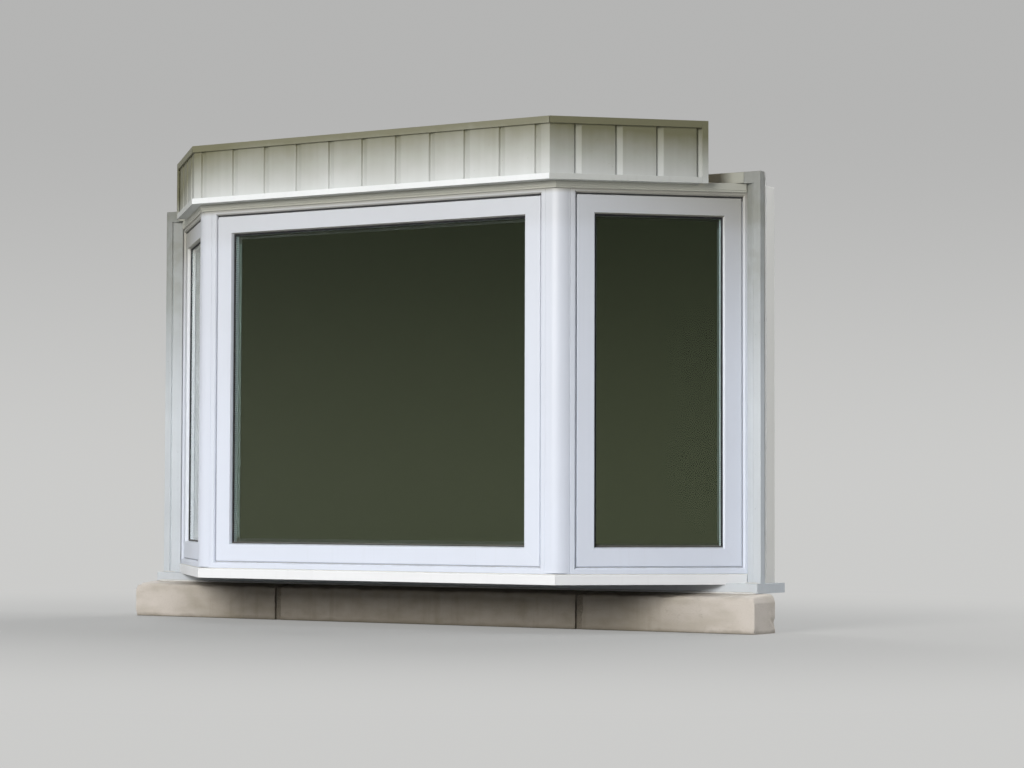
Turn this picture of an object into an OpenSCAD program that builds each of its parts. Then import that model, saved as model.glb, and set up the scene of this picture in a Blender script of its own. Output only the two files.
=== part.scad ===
// Bay window: a fixed centre light between two flank casements, under a ribbed frieze, on a stone sill.
// X runs along the wall, Y into the room from the wall's outer face, Z up from the bed of the stone sill.
// The right half is drawn and the left half is its mirror image, apart from the frieze boards' spacing.

/* [Bay] */
// Angle that each flank turns back from the centre light, in degrees
bay_angle = 45; // [40:1:50]
// Distance from the wall's outer face out to the face of the centre sash
projection = 299; // [280:1:320]
// Distance from the wall's outer face in to the room edge of the boards
wall_depth = 250; // [235:1:320]
// Width of the centre sash
centre_sash_w = 1237; // [900:1:1600]
// Width of each flank sash
flank_sash_w = 523; // [500:1:560]
// Height of all three sashes
sash_h = 1128; // [900:1:1400]
// Width of frame and post that each face shows between its sash and the corner of the sash planes
corner_w = 60; // [55:1:70]

/* [Frames and sashes] */
// Depth of the window frames
frame_d = 82; // [80:1:100]
// Width of the frame's face
frame_face = 18; // [15:1:24]
// Gap that shows between frame and sash
sash_gap = 4; // [3:0.5:6]
// How far the frame's face stands in front of the sash
frame_lip = 6; // [3:0.5:9]
// Width of the inner stop that the sash closes on
stop_w = 16; // [12:1:20]
// Size of the broken edges of the frame, sash and trim profiles
edge = 1.5; // [0.5:0.5:2]
// Width of the sash's face
sash_face = 58; // [50:1:66]
// Depth of the sash
sash_d = 60; // [54:1:64]
// Width of the sloped edge beside the glass
bevel_w = 6; // [3:0.5:10]
// Depth of the sloped edge beside the glass
bevel_d = 10; // [6:0.5:12]
// Width of the drip step round the sash's outer edge
drip_w = 8; // [5:0.5:12]
// Depth of the drip step
drip_d = 1.5; // [1:0.5:3]
// Depth from the sash's face to the glass
glass_set = 14; // [13:0.5:18]
// How far the glass runs in under the sash's face
glass_bite = 12; // [9:0.5:15]
// Thickness of each pane
pane_t = 4; // [3:0.5:6]
// Space between the two panes
pane_space = 14; // [10:0.5:16]
// Width of the spacer bar
spacer_w = 7; // [5:0.5:9]
// How far the spacer shows past the edge of the sash
spacer_show = 1; // [0:0.5:3]
// How far the inner glazing bead shows past the edge of the sash
bead_show = 4; // [2:0.5:8]

/* [Corner posts] */
// Radius of the rounded outer cover
cover_r = 55; // [48:1:80]

/* [Boards] */
// Thickness of the seat board
seat_t = 29; // [20:1:40]
// Thickness of the head board
head_t = 19; // [16:1:32]
// Thickness of the jamb boards
jamb_t = 19; // [16:1:30]
// Thickness of the wedge's thin edge, which carries the flank frame
wedge_t = 8; // [5:0.5:14]

/* [Sill] */
// Height of the stone sill at its front edge
stone_h = 111; // [90:1:140]
// Rise of the stone's sloped top from front to back
stone_wash = 8; // [4:1:14]
// How far the stone's front stands out from the wall
stone_nose = 12; // [0:1:40]
// Depth of the stone from front to back
stone_d = 137; // [127:1:180]
// Length that the stone runs past the opening at each end
stone_lap = 30; // [15:1:60]
// Half the length of the middle stone
stone_mid = 571; // [400:1:700]
// Width of the mortar joints between the stones
mortar_w = 24; // [10:1:30]
// Depth that the mortar lies back from the stone's front
mortar_set = 8; // [3:1:20]
// Size of the worn edge along the top of the stones
stone_arris = 6; // [3:1:12]
// Radius of the worn upper corner at each end of the sill
stone_worn = 26; // [5:1:40]
// Height of the clad filler between the stone and the seat board
filler_h = 29.6; // [20:0.1:40]
// How far the filler stands in front of the reveal strips
filler_step = 30; // [10:1:34]
// Height of the sill fascia
fascia_h = 35; // [31:0.5:38]
// Thickness of the sill fascia
fascia_t = 6; // [4:0.5:9]
// How far the fascia covers the bottom of the frames
fascia_lap = 2.4; // [1:0.1:4]
// Size of the fascia's sloped top edge
fascia_slope = 2; // [1:0.5:3]

/* [Head and reveal] */
// How far the head trim covers the top of the frames
trim_lap = 4.6; // [2:0.1:6]
// Thickness of the head trim
trim_t = 6; // [4:0.5:9]
// Width of the strip down each side of the opening
strip_w = 60; // [45:1:80]
// Depth of the strip
strip_d = 29.6; // [24:0.1:34]
// Width of the strip's raised outer band
strip_band = 30; // [20:1:38]
// Depth of the step between the strip's two bands
strip_step = 4; // [2:0.5:6]
// How far the strip covers the end of the flank frame
strip_lap = 5.5; // [2:0.1:6]
// Height of the capping board over the head board
cap_h = 34.4; // [25:0.1:60]

/* [Frieze] */
// Height of the frieze
frieze_h = 190; // [150:1:260]
// How far the frieze overhangs the face of the centre frame
over_front = 50; // [30:1:70]
// How far the frieze overhangs the faces of the flank frames
over_flank = 37.5; // [25:0.5:60]
// How far the frieze hangs below the top of the head board
frieze_drop = 6.6; // [5:0.1:12]
// Spacing of the grooves in the frieze boards
groove_pitch = 128; // [90:1:180]
// Width of a groove
groove_w = 24; // [16:1:36]
// Width of the groove's steep side
groove_wall = 3; // [1:0.5:5]
// Width of the groove's flat bottom
groove_floor = 9; // [5:0.5:10]
// Depth of a groove
groove_d = 7; // [4:0.5:10]
// Where the groove nearest the middle of the front starts
groove_front = -13.7; // [-60:0.1:60]
// Distance from the corner to the first groove on each flank
groove_flank = 78; // [40:1:100]
// Thickness of the frieze board's sheet
sheet_t = 3; // [2:0.5:5]
// How far the edge trims stand in front of the boards
edge_t = 5; // [3:0.5:8]
// Height of the top edge trim
top_edge_h = 21; // [15:1:30]
// Height of the bottom edge trim
bottom_edge_h = 18; // [12:1:26]
// Width of the trim down each end of the frieze
end_w = 30; // [20:1:40]
// Thickness of the folded legs of the trims
leg_t = 2.5; // [1.5:0.5:4]
// Width of the joint between the top trims at each corner
corner_joint = 1.5; // [0.5:0.5:3]
// Thickness of the plates inside the frieze
plate_t = 12; // [9:1:20]
// Side of the studs inside the frieze
stud = 38; // [30:1:42]
// Spacing of the studs along the front
stud_pitch = 300; // [250:1:330]

/* [Crank handles] */
// Length of the crank housing
crank_l = 120; // [90:1:150]
// Height of the crank housing
crank_h = 26; // [20:1:30]
// Depth of the crank housing
crank_d = 20; // [14:1:30]
// Distance from the middle of the flank sash to the crank's pivot, towards the corner
crank_off = 65; // [40:1:90]
// Length of the arm from its pivot to its knob
arm_l = 120; // [90:1:130]
// Angle that the arm stands up at
arm_lift = 45; // [0:1:60]
// Width of the arm
arm_w = 12; // [9:0.5:16]
// Thickness of the arm
arm_t = 6; // [4:0.5:9]
// Diameter of the pivot's boss
boss_w = 20; // [16:0.5:24]
// Diameter of the knob
knob_w = 14; // [10:0.5:16]
// Length of the knob
knob_l = 15; // [10:1:22]

/* [Fit] */
// Clearance between pieces that seat on each other
seat = 0.3; // [0.2:0.05:0.5]
// Clearance round the edge of the glass
glass_gap = 2; // [1:0.5:3]

/* [Hidden] */
$fn = 96;
half_tan = tan(bay_angle / 2);

frame_edge = frame_face + sash_gap;
corner_x = centre_sash_w / 2 + corner_w;
post_s = corner_w - frame_edge;
frame_back = frame_d - frame_lip;
frame_h = sash_h + 2 * frame_edge;
centre_frame_w = centre_sash_w + 2 * frame_edge;
flank_frame_w = flank_sash_w + 2 * frame_edge;
flank_mid = corner_w + flank_sash_w / 2;
frame_end = corner_w + flank_sash_w + frame_edge;

glass_edge = sash_face - glass_bite;
rebate_edge = glass_edge - glass_gap;
pane_1 = glass_set + seat;
pane_2 = pane_1 + pane_t + pane_space;
bead_y = pane_2 + pane_t + seat;

stone_top = stone_h + stone_wash;
filler_top = stone_top + filler_h;
seat_top = filler_top + seat_t;
frame_top = seat_top + frame_h;
head_top = frame_top + head_t;
cap_top = head_top + cap_h;
fascia_top = seat_top + fascia_lap;

outer_end = flank_point(frame_end, frame_lip);
inner_end = flank_point(frame_end, -frame_back);
jamb_in = outer_end[0] + seat;
jamb_front = outer_end[1] + seat;
strip_in = outer_end[0] - strip_lap;
strip_out = strip_in + strip_w;
strip_face = outer_end[1] - strip_d;
filler_front = strip_face - filler_step;
stone_end = strip_out + stone_lap;
stone_back = stone_d - stone_nose;

frieze_y = projection + frame_lip + over_front;
frieze_x = corner_x + (frame_lip + over_flank) / sin(bay_angle) - (frame_lip + over_front) / tan(bay_angle);
frieze_z = head_top - frieze_drop;
frieze_top = frieze_z + frieze_h;
board_back = edge_t + groove_d + sheet_t + seat;
flank_run = frieze_y / sin(bay_angle);
trim_out = frame_lip + trim_t;
reach = frame_d + over_front;
groove_count = ceil(2 * frieze_x / groove_pitch);

post_a = [centre_frame_w / 2 + seat, -projection - frame_lip];
post_b = flank_point(post_s - seat, frame_lip);
chord = norm(post_b - post_a);
chord_mid = (post_a + post_b) / 2;

white = [0.93, 0.94, 0.96];
cream = [0.90, 0.90, 0.86];
board_white = [0.92, 0.91, 0.88];

// A point beside the right flank: s along it from the corner of the sash planes, out in front of it
function flank_point(s, out) =
    [corner_x + s * cos(bay_angle) + out * sin(bay_angle),
     -projection + s * sin(bay_angle) - out * cos(bay_angle)];

// The plan of a bay whose corner is at cx, -cy, drawn in by d, and closed along the line y = back
function bay_plan(cx, cy, d, back) =
    let (x = cx - d * half_tan, y = d - cy, far = x + (back - y) / tan(bay_angle))
    [[-far, back], [-x, y], [x, y], [far, back]];

// Corners of the grooves that start between two stations, as [station, depth]
function grooves(first, low, high) =
    [for (k = [-groove_count:groove_count]) let (x = first + k * groove_pitch)
        if (x > low && x + groove_w < high) each [[x, 0], [x + groove_wall, groove_d],
              [x + groove_wall + groove_floor, groove_d], [x + groove_w, 0]]];

// The path of a grooved sheet, given its two ends at the front and how far each end moves at the back
function sheet(points, a, b, shift_a, shift_b) =
    let (front = concat([[a, 0]], points, [[b, 0]]),
         back = concat([[a + shift_a, sheet_t]], [for (p = points) p + [0, sheet_t]],
                       [[b + shift_b, sheet_t]]),
         n = len(back))
    concat(front, [for (i = [1:n]) back[n - i]]);

// Puts a drawing of a flank, with x along it and y into the room, on the right flank
module on_flank(cx = corner_x, cy = projection) {
    translate([cx, -cy, 0]) rotate([0, 0, bay_angle]) children();
}

module mirrored() {
    mirror([1, 0, 0]) children();
}

// One side of a ring: a profile of [width, depth] points along X, cut at 45 degrees at both ends
module ring_side(length, profile) {
    intersection() {
        rotate([90, 0, 90]) linear_extrude(length, center = true)
            polygon([for (p = profile) [p[1], p[0]]]);
        translate([0, frame_d, 0]) rotate([90, 0, 0]) linear_extrude(2 * frame_d)
            polygon([[-length / 2, 0], [length / 2, 0], [0, length / 2]]);
    }
}

// A mitred ring of one profile, centred in X and standing on z = 0
module ring(w, h, profile) {
    ring_side(w, profile);
    translate([0, 0, h]) mirror([0, 0, 1]) ring_side(w, profile);
    for (side = [0, 1])
        mirror([side, 0, 0]) translate([-w / 2, 0, h / 2]) rotate([0, 90, 0]) ring_side(h, profile);
}

// A trim along the front of a bay, from a profile of [depth, height] points, mitred at both corners
module run_front(cx, cy, profile, joint) {
    intersection() {
        translate([0, -cy, 0]) rotate([90, 0, 90]) linear_extrude(2 * (cx + reach), center = true)
            polygon(profile);
        linear_extrude(2 * frieze_top) polygon([for (p = [[-1, -1], [1, -1], [1, 1], [-1, 1]])
            [p[0] * (cx - p[1] * reach * half_tan - joint), p[1] * reach - cy]]);
    }
}

// The same trim along a flank, from the mitre to a square end, in the flank's own axes
module run_flank(length, profile, joint) {
    intersection() {
        rotate([90, 0, 90]) translate([0, 0, -reach]) linear_extrude(length + reach) polygon(profile);
        linear_extrude(2 * frieze_top) polygon([
            [joint - reach * half_tan, -reach], [length, -reach],
            [length, reach], [joint + reach * half_tan, reach]
        ]);
    }
}

// Keeps what lies between the corner and the reveal strip
module inside_strip() {
    intersection() {
        children();
        translate([0, -2 * projection, 0]) cube([strip_in - seat, 4 * projection, 2 * frieze_top]);
    }
}

// Keeps what lies in front of the wall
module before_wall() {
    intersection() {
        children();
        translate([-2 * stone_end, -2 * frieze_y, 0]) cube([4 * stone_end, 2 * frieze_y, 2 * frieze_top]);
    }
}

module stone_profile(front, drop) {
    polygon([
        [front - stone_nose, 0], [front - stone_nose, stone_h - stone_arris],
        [stone_arris - stone_nose, stone_h - drop], [filler_front, stone_top - drop],
        [stone_back, stone_top - drop], [stone_back, 0]
    ]);
}

module stone_run(x0, x1, front, drop) {
    translate([x0, 0, 0]) rotate([90, 0, 90]) linear_extrude(x1 - x0) stone_profile(front, drop);
}

module stone_sill() {
    color([0.66, 0.62, 0.54]) {
        stone_run(-stone_mid, stone_mid, 0, 0);
        for (side = [0, 1]) mirror([side, 0, 0]) intersection() {
            stone_run(stone_mid + mortar_w, stone_end, 0, 0);
            rotate([90, 0, 0]) linear_extrude(2 * (stone_d + stone_nose), center = true) worn_end();
        }
    }
}

// The front view of an end stone's outer part, with its upper corner worn round
module worn_end() {
    square([stone_end - stone_worn, stone_top]);
    square([stone_end, stone_top - stone_worn]);
    translate([stone_end - stone_worn, stone_top - stone_worn]) circle(stone_worn);
}

module mortar_joints() {
    color([0.36, 0.33, 0.29]) for (side = [0, 1])
        mirror([side, 0, 0]) intersection() {
            stone_run(stone_mid, stone_mid + mortar_w, 0, 0);
            translate([0, mortar_set - stone_nose, 0])
                cube([stone_end, stone_d - mortar_set, stone_top]);
        }
}

module sill_filler() {
    color(white) translate([-strip_out, filler_front, stone_top])
        cube([2 * strip_out, wall_depth - filler_front, filler_h]);
}

// Outline shared by the seat board and the head board
module board_plan() {
    right = [[outer_end[0], wall_depth], [outer_end[0], outer_end[1]],
             [corner_x + frame_lip * half_tan, -projection - frame_lip]];
    polygon(concat(right, [for (i = [2:-1:0]) [-right[i][0], right[i][1]]]));
}

module seat_board() {
    color(board_white) translate([0, 0, filler_top]) linear_extrude(seat_t) board_plan();
}

module head_board() {
    color(board_white) translate([0, 0, frame_top]) linear_extrude(head_t) board_plan();
}

module jamb_board() {
    color(board_white) {
        translate([jamb_in, jamb_front, filler_top])
            cube([jamb_t, wall_depth - jamb_front, head_top - filler_top]);
        translate([0, 0, seat_top]) linear_extrude(frame_h) polygon([
            [jamb_in, jamb_front], [jamb_in + jamb_t / 2, jamb_front],
            [jamb_in + jamb_t / 2, inner_end[1] + wedge_t],
            [inner_end[0] + seat, inner_end[1] + wedge_t], [inner_end[0] + seat, inner_end[1] + seat]
        ]);
    }
}

module jamb_board_right() {
    jamb_board();
}

module jamb_board_left() {
    mirrored() jamb_board();
}

// The fixed frame: a face, a pocket for the sash, and the stop that the sash closes on
frame_profile = [
    [0, edge - frame_lip], [edge, -frame_lip], [frame_face - edge, -frame_lip],
    [frame_face, edge - frame_lip], [frame_face, sash_d + seat],
    [frame_face + stop_w, sash_d + seat], [frame_face + stop_w, frame_back], [0, frame_back]
];

module window_frame(w) {
    color(white) translate([0, 0, seat_top]) ring(w, frame_h, frame_profile);
}

module frame_centre() {
    translate([0, -projection, 0]) window_frame(centre_frame_w);
}

module frame_right() {
    on_flank() translate([flank_mid, 0, 0]) window_frame(flank_frame_w);
}

module frame_left() {
    mirrored() frame_right();
}

// The sash: a drip step outside, a sloped edge at the glass, and an open rebate behind it
sash_profile = [
    [0, drip_d + edge], [edge, drip_d], [drip_w, drip_d], [drip_w + drip_d, 0], [sash_face - bevel_w, 0],
    [sash_face, bevel_d], [sash_face, glass_set], [rebate_edge, glass_set],
    [rebate_edge, sash_d], [0, sash_d]
];

module window_sash(w) {
    color(white) translate([0, 0, seat_top + frame_edge]) ring(w, sash_h, sash_profile);
}

module sash_centre() {
    translate([0, -projection, 0]) window_sash(centre_sash_w);
}

module sash_right() {
    on_flank() translate([flank_mid, 0, 0]) window_sash(flank_sash_w);
}

module sash_left() {
    mirrored() sash_right();
}

// Two panes with the air space between them
module window_glass(w) {
    inset = glass_edge;
    color([0.35, 0.42, 0.40, 0.5]) for (y = [pane_1, pane_2])
        translate([inset - w / 2, y, seat_top + frame_edge + inset])
            cube([w - 2 * inset, pane_t, sash_h - 2 * inset]);
}

module glass_centre() {
    translate([0, -projection, 0]) window_glass(centre_sash_w);
}

module glass_right() {
    on_flank() translate([flank_mid, 0, 0]) window_glass(flank_sash_w);
}

module glass_left() {
    mirrored() glass_right();
}

// The bar that holds the two panes apart, as a ring of square corners
module window_spacer(w) {
    far = sash_face + spacer_show;
    near = far - spacer_w;
    color([0.60, 0.64, 0.66]) translate([0, pane_1 + pane_t, seat_top + frame_edge]) difference() {
        translate([near - w / 2, 0, near]) cube([w - 2 * near, pane_space, sash_h - 2 * near]);
        translate([far - w / 2, -seat, far]) cube([w - 2 * far, pane_space + 2 * seat, sash_h - 2 * far]);
    }
}

module spacer_centre() {
    translate([0, -projection, 0]) window_spacer(centre_sash_w);
}

module spacer_right() {
    on_flank() translate([flank_mid, 0, 0]) window_spacer(flank_sash_w);
}

module spacer_left() {
    mirrored() spacer_right();
}

// The bead that holds the glass from the room side, with a sloped inner face
bead_profile = [
    [rebate_edge + seat, bead_y], [sash_face + bead_show, bead_y],
    [sash_face + bead_show, bead_y + bevel_w], [sash_face - bevel_w, sash_d], [rebate_edge + seat, sash_d]
];

module window_bead(w) {
    color(white) translate([0, 0, seat_top + frame_edge]) ring(w, sash_h, bead_profile);
}

module bead_centre() {
    translate([0, -projection, 0]) window_bead(centre_sash_w);
}

module bead_right() {
    on_flank() translate([flank_mid, 0, 0]) window_bead(flank_sash_w);
}

module bead_left() {
    mirrored() bead_right();
}

// The wedge between the centre frame and the flank frame
module post() {
    inner = [flank_point(post_s - seat, -frame_back), [post_a[0], frame_back - projection]];
    color(white) translate([0, 0, seat_top]) linear_extrude(frame_h)
        polygon(concat([post_a, post_b], inner));
}

module post_right() {
    post();
}

module post_left() {
    mirrored() post();
}

// The rounded cover that snaps over the post, from one frame's edge to the other's
module post_cover() {
    sag = sqrt(cover_r * cover_r - chord * chord / 4);
    color(white) translate([chord_mid[0], chord_mid[1], fascia_top + seat])
        rotate([0, 0, bay_angle / 2]) linear_extrude(frame_top - trim_lap - fascia_top - 2 * seat)
        intersection() {
            translate([0, sag]) circle(cover_r);
            translate([-chord / 2, -cover_r]) square([chord, cover_r - seat]);
        }
}

module post_cover_right() {
    post_cover();
}

module post_cover_left() {
    mirrored() post_cover();
}

fascia_profile = [
    [-frame_lip, fascia_top - fascia_h], [-frame_lip, fascia_top],
    [fascia_slope - frame_lip - fascia_t, fascia_top], [-frame_lip - fascia_t, fascia_top - fascia_slope],
    [-frame_lip - fascia_t, fascia_top - fascia_h]
];

module sill_fascia_front() {
    color(white) run_front(corner_x, projection, fascia_profile, seat / 2);
}

module sill_fascia_right() {
    color(white) difference() {
        inside_strip() on_flank() run_flank(2 * flank_mid, fascia_profile, seat / 2);
        translate([0, filler_front - seat, 0]) cube([stone_end, wall_depth, filler_top + seat]);
    }
}

module sill_fascia_left() {
    mirrored() sill_fascia_right();
}

trim_profile = [
    [-frame_lip, frame_top - trim_lap], [-frame_lip, head_top - leg_t / 2],
    [-trim_out, head_top - leg_t / 2], [-trim_out, frame_top - trim_lap + edge],
    [edge - trim_out, frame_top - trim_lap]
];

module head_trim() {
    color(white) {
        run_front(corner_x, projection, trim_profile, seat / 2);
        for (side = [0, 1]) mirror([side, 0, 0])
            inside_strip() on_flank() run_flank(2 * flank_mid, trim_profile, seat / 2);
    }
}

// The two-band strip that covers the joint between the flank frame and the reveal
module reveal_strip() {
    fold = strip_out - strip_band;
    color(white) translate([0, 0, filler_top]) linear_extrude(cap_top - filler_top) polygon([
        [strip_in, strip_face + strip_step], [fold - strip_step, strip_face + strip_step],
        [fold, strip_face], [strip_out, strip_face], [strip_out, outer_end[1]],
        [outer_end[0], outer_end[1] - seat],
        [strip_in, outer_end[1] - seat - strip_lap * tan(bay_angle)]
    ]);
}

module reveal_strip_right() {
    reveal_strip();
}

module reveal_strip_left() {
    mirrored() reveal_strip();
}

module head_capping() {
    color(white) translate([seat - strip_in, strip_face, head_top])
        cube([2 * (strip_in - seat), strip_d, cap_h]);
}

board_bottom = frieze_z + leg_t + seat;
board_h = frieze_h - 2 * (leg_t + seat);

module frieze_boards_front() {
    x = frieze_x - edge_t * half_tan - seat / 2;
    in = sheet_t * half_tan;
    color(cream) translate([0, edge_t - frieze_y, board_bottom]) linear_extrude(board_h)
        polygon(sheet(grooves(groove_front, -x + in, x - in), -x, x, in, -in));
}

module frieze_boards_right() {
    start = edge_t * half_tan + seat / 2;
    color(cream) before_wall() on_flank(frieze_x, frieze_y) translate([0, edge_t, board_bottom])
        linear_extrude(board_h)
        polygon(sheet(grooves(groove_flank, start + sheet_t, flank_run), start, flank_run + reach,
                      sheet_t * half_tan, 0));
}

module frieze_boards_left() {
    mirrored() frieze_boards_right();
}

top_trim_profile = [
    [0, frieze_top - top_edge_h], [0, frieze_top], [board_back - seat, frieze_top],
    [board_back - seat, frieze_top - leg_t], [edge_t - seat, frieze_top - leg_t],
    [edge_t - seat, frieze_top - top_edge_h]
];

module frieze_top_trim() {
    color(cream) {
        run_front(frieze_x, frieze_y, top_trim_profile, corner_joint / 2);
        for (side = [0, 1]) mirror([side, 0, 0]) on_flank(frieze_x, frieze_y)
            run_flank(flank_run - end_w - seat, top_trim_profile, corner_joint / 2);
    }
}

// An upright face round the bottom of the frieze and the leg that closes its underside
module frieze_bottom_trim() {
    color(cream) translate([0, 0, frieze_z]) intersection() {
        union() {
            linear_extrude(bottom_edge_h) difference() {
                polygon(bay_plan(frieze_x, frieze_y, 0, reach));
                polygon(bay_plan(frieze_x, frieze_y, edge_t - seat, 2 * reach));
            }
            linear_extrude(leg_t) difference() {
                polygon(bay_plan(frieze_x, frieze_y, 0, 0));
                polygon(bay_plan(corner_x, projection, -trim_out - seat, reach));
            }
        }
        end_limit();
    }
}

// The plan of everything between the two end trims of the frieze
module end_limit() {
    far = flank_run - end_w - seat;
    right = [for (out = [2 * frieze_y, -frieze_y / 2])
        [frieze_x + far * cos(bay_angle) + out * sin(bay_angle),
         far * sin(bay_angle) - out * cos(bay_angle) - frieze_y]];
    linear_extrude(frieze_h) polygon(concat(right, [for (i = [1, 0]) [-right[i][0], right[i][1]]]));
}

module frieze_end() {
    color(cream) before_wall() on_flank(frieze_x, frieze_y)
        translate([flank_run - end_w, 0, frieze_z]) cube([end_w + reach, edge_t - seat, frieze_h]);
}

module frieze_end_right() {
    frieze_end();
}

module frieze_end_left() {
    mirrored() frieze_end();
}

module frieze_plate(z) {
    color([0.72, 0.60, 0.42]) translate([0, 0, z]) linear_extrude(plate_t)
        polygon(bay_plan(frieze_x, frieze_y, board_back, 0));
}

module frieze_bottom_plate() {
    frieze_plate(head_top);
}

module frieze_top_plate() {
    frieze_plate(frieze_top - plate_t);
}

module frieze_studs() {
    z = head_top + plate_t;
    h = frieze_top - plate_t - z;
    color([0.78, 0.66, 0.47]) {
        for (k = [-2:2])
            translate([k * stud_pitch - stud / 2, board_back - frieze_y, z]) cube([stud, stud, h]);
        for (side = [0, 1]) mirror([side, 0, 0]) on_flank(frieze_x, frieze_y)
            for (s = [flank_run / 4, 3 * flank_run / 4])
                translate([s - stud / 2, board_back, z]) cube([stud, stud, h]);
    }
}

// A slot-shaped plate of length l and height h, lying in the X and Z axes, d deep
module slot_plate(l, h, d) {
    translate([0, d, 0]) rotate([90, 0, 0]) linear_extrude(d) {
        square([l - h, h], center = true);
        for (side = [-1, 1]) translate([side * (l - h) / 2, 0]) circle(h / 2);
    }
}

// The crank's housing on the inner stop of the flank frame, and its raised arm with a knob
module crank() {
    pivot = [flank_mid - crank_off, frame_back, seat_top + frame_face + stop_w - crank_h / 2];
    color(white) on_flank() translate(pivot) {
        slot_plate(crank_l, crank_h, crank_d);
        rotate([0, -arm_lift, 0]) translate([0, crank_d / 2, 0]) {
            rotate([-90, 0, 0]) cylinder(d = boss_w, h = crank_d / 2 + 2 * arm_t);
            translate([0, crank_d / 2 + arm_t / 2, -arm_w / 2]) cube([arm_l, arm_t, arm_w]);
            translate([arm_l, crank_d / 2, 0]) rotate([-90, 0, 0]) cylinder(d = knob_w, h = arm_t + knob_l);
        }
    }
}

module crank_right() {
    crank();
}

module crank_left() {
    mirrored() crank();
}

stone_sill();
mortar_joints();
sill_filler();
seat_board();
head_board();
jamb_board_left();
jamb_board_right();
frame_centre();
frame_left();
frame_right();
sash_centre();
sash_left();
sash_right();
glass_centre();
glass_left();
glass_right();
spacer_centre();
spacer_left();
spacer_right();
bead_centre();
bead_left();
bead_right();
post_left();
post_right();
post_cover_left();
post_cover_right();
sill_fascia_front();
sill_fascia_left();
sill_fascia_right();
head_trim();
reveal_strip_left();
reveal_strip_right();
head_capping();
frieze_boards_front();
frieze_boards_left();
frieze_boards_right();
frieze_top_trim();
frieze_bottom_trim();
frieze_end_left();
frieze_end_right();
frieze_bottom_plate();
frieze_top_plate();
frieze_studs();
crank_left();
crank_right();
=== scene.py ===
"""Finishes the bay window: vinyl frames and sashes, rounded corner covers, a ribbed sheet-metal
frieze, clad head and sill, painted boards, dark double glazing and a weathered stone sill, with
painted shade and painted light in many of the finishes.
"""
import itertools
import logging
import math
from dataclasses import dataclass
from enum import Enum
from functools import cached_property

import bpy
import numpy as np
from mathutils import Matrix, Vector


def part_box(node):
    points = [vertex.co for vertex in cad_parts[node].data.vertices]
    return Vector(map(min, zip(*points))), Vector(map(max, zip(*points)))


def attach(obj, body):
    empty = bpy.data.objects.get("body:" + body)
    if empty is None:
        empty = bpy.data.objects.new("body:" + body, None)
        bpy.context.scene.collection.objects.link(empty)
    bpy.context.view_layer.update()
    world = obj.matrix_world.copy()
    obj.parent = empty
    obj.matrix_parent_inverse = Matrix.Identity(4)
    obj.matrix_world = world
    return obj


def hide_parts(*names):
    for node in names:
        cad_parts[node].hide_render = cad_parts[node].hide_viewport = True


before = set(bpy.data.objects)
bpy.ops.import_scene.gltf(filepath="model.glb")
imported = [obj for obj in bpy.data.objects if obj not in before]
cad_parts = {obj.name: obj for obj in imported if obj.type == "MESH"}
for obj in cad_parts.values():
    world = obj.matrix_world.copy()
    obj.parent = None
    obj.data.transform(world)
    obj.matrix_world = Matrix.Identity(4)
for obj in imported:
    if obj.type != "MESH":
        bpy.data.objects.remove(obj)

LOG = logging.getLogger("bay_window")
Array = np.ndarray
Material = bpy.types.Material
Triple = tuple[float, float, float]
Span = tuple[float, float]

MM = 0.001
BAY_ANGLE = math.radians(45)
HALF_TAN = math.tan(BAY_ANGLE / 2)
SEAT = 0.3 * MM
ROOT = "root"
UV_NAME = "run"
NEVER = 9.0


class Side(Enum):
    """The two halves of the bay, by the sign of X."""

    LEFT = -1
    RIGHT = 1

    @property
    def word(self) -> str:
        """The side's name as the nodes write it."""
        return self.name.lower()


class Noise:
    """Smooth random values in space, from a lattice that repeats after a number of cells."""

    CELLS = 32
    SHIFT = 7.3

    def __init__(self, seed: int) -> None:
        """Fills the lattice from a seed."""
        self.lattice = np.random.default_rng(seed).random((self.CELLS,) * 3)

    def value(self, points: Array) -> Array:
        """Blends the eight lattice values round each point, with each share eased by t t (3 - 2 t).

        Args:
            points: places in lattice cells, with three numbers on the last axis.

        Returns:
            One value from -1 to 1 for each point.
        """
        cell = np.floor(points).astype(int)
        share = points - cell
        share = share * share * (3 - 2 * share)
        total = np.zeros(points.shape[:-1])
        for corner in itertools.product((0, 1), repeat=3):
            weight = np.prod(np.where(corner, share, 1 - share), axis=-1)
            x, y, z = np.moveaxis((cell + corner) % self.CELLS, -1, 0)
            total += weight * self.lattice[x, y, z]
        return 2 * total - 1

    def layers(self, points: Array, size: float, count: int) -> Array:
        """Adds layers of noise, each half as large and half as strong as the one before.

        Args:
            points: places in metres.
            size: length of one cell of the coarsest layer, in metres.
            count: number of layers.

        Returns:
            One value from about -1 to 1 for each point.
        """
        shares = 0.5 ** np.arange(count)
        total = sum(share * self.value(points / (size * share) + self.SHIFT * i)
                    for i, share in enumerate(shares))
        return total / shares.sum()


def corners(node: str) -> tuple[Array, Array]:
    """Gives the lowest and highest corners of a CAD node as arrays."""
    low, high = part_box(node)
    return np.array(low), np.array(high)


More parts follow.
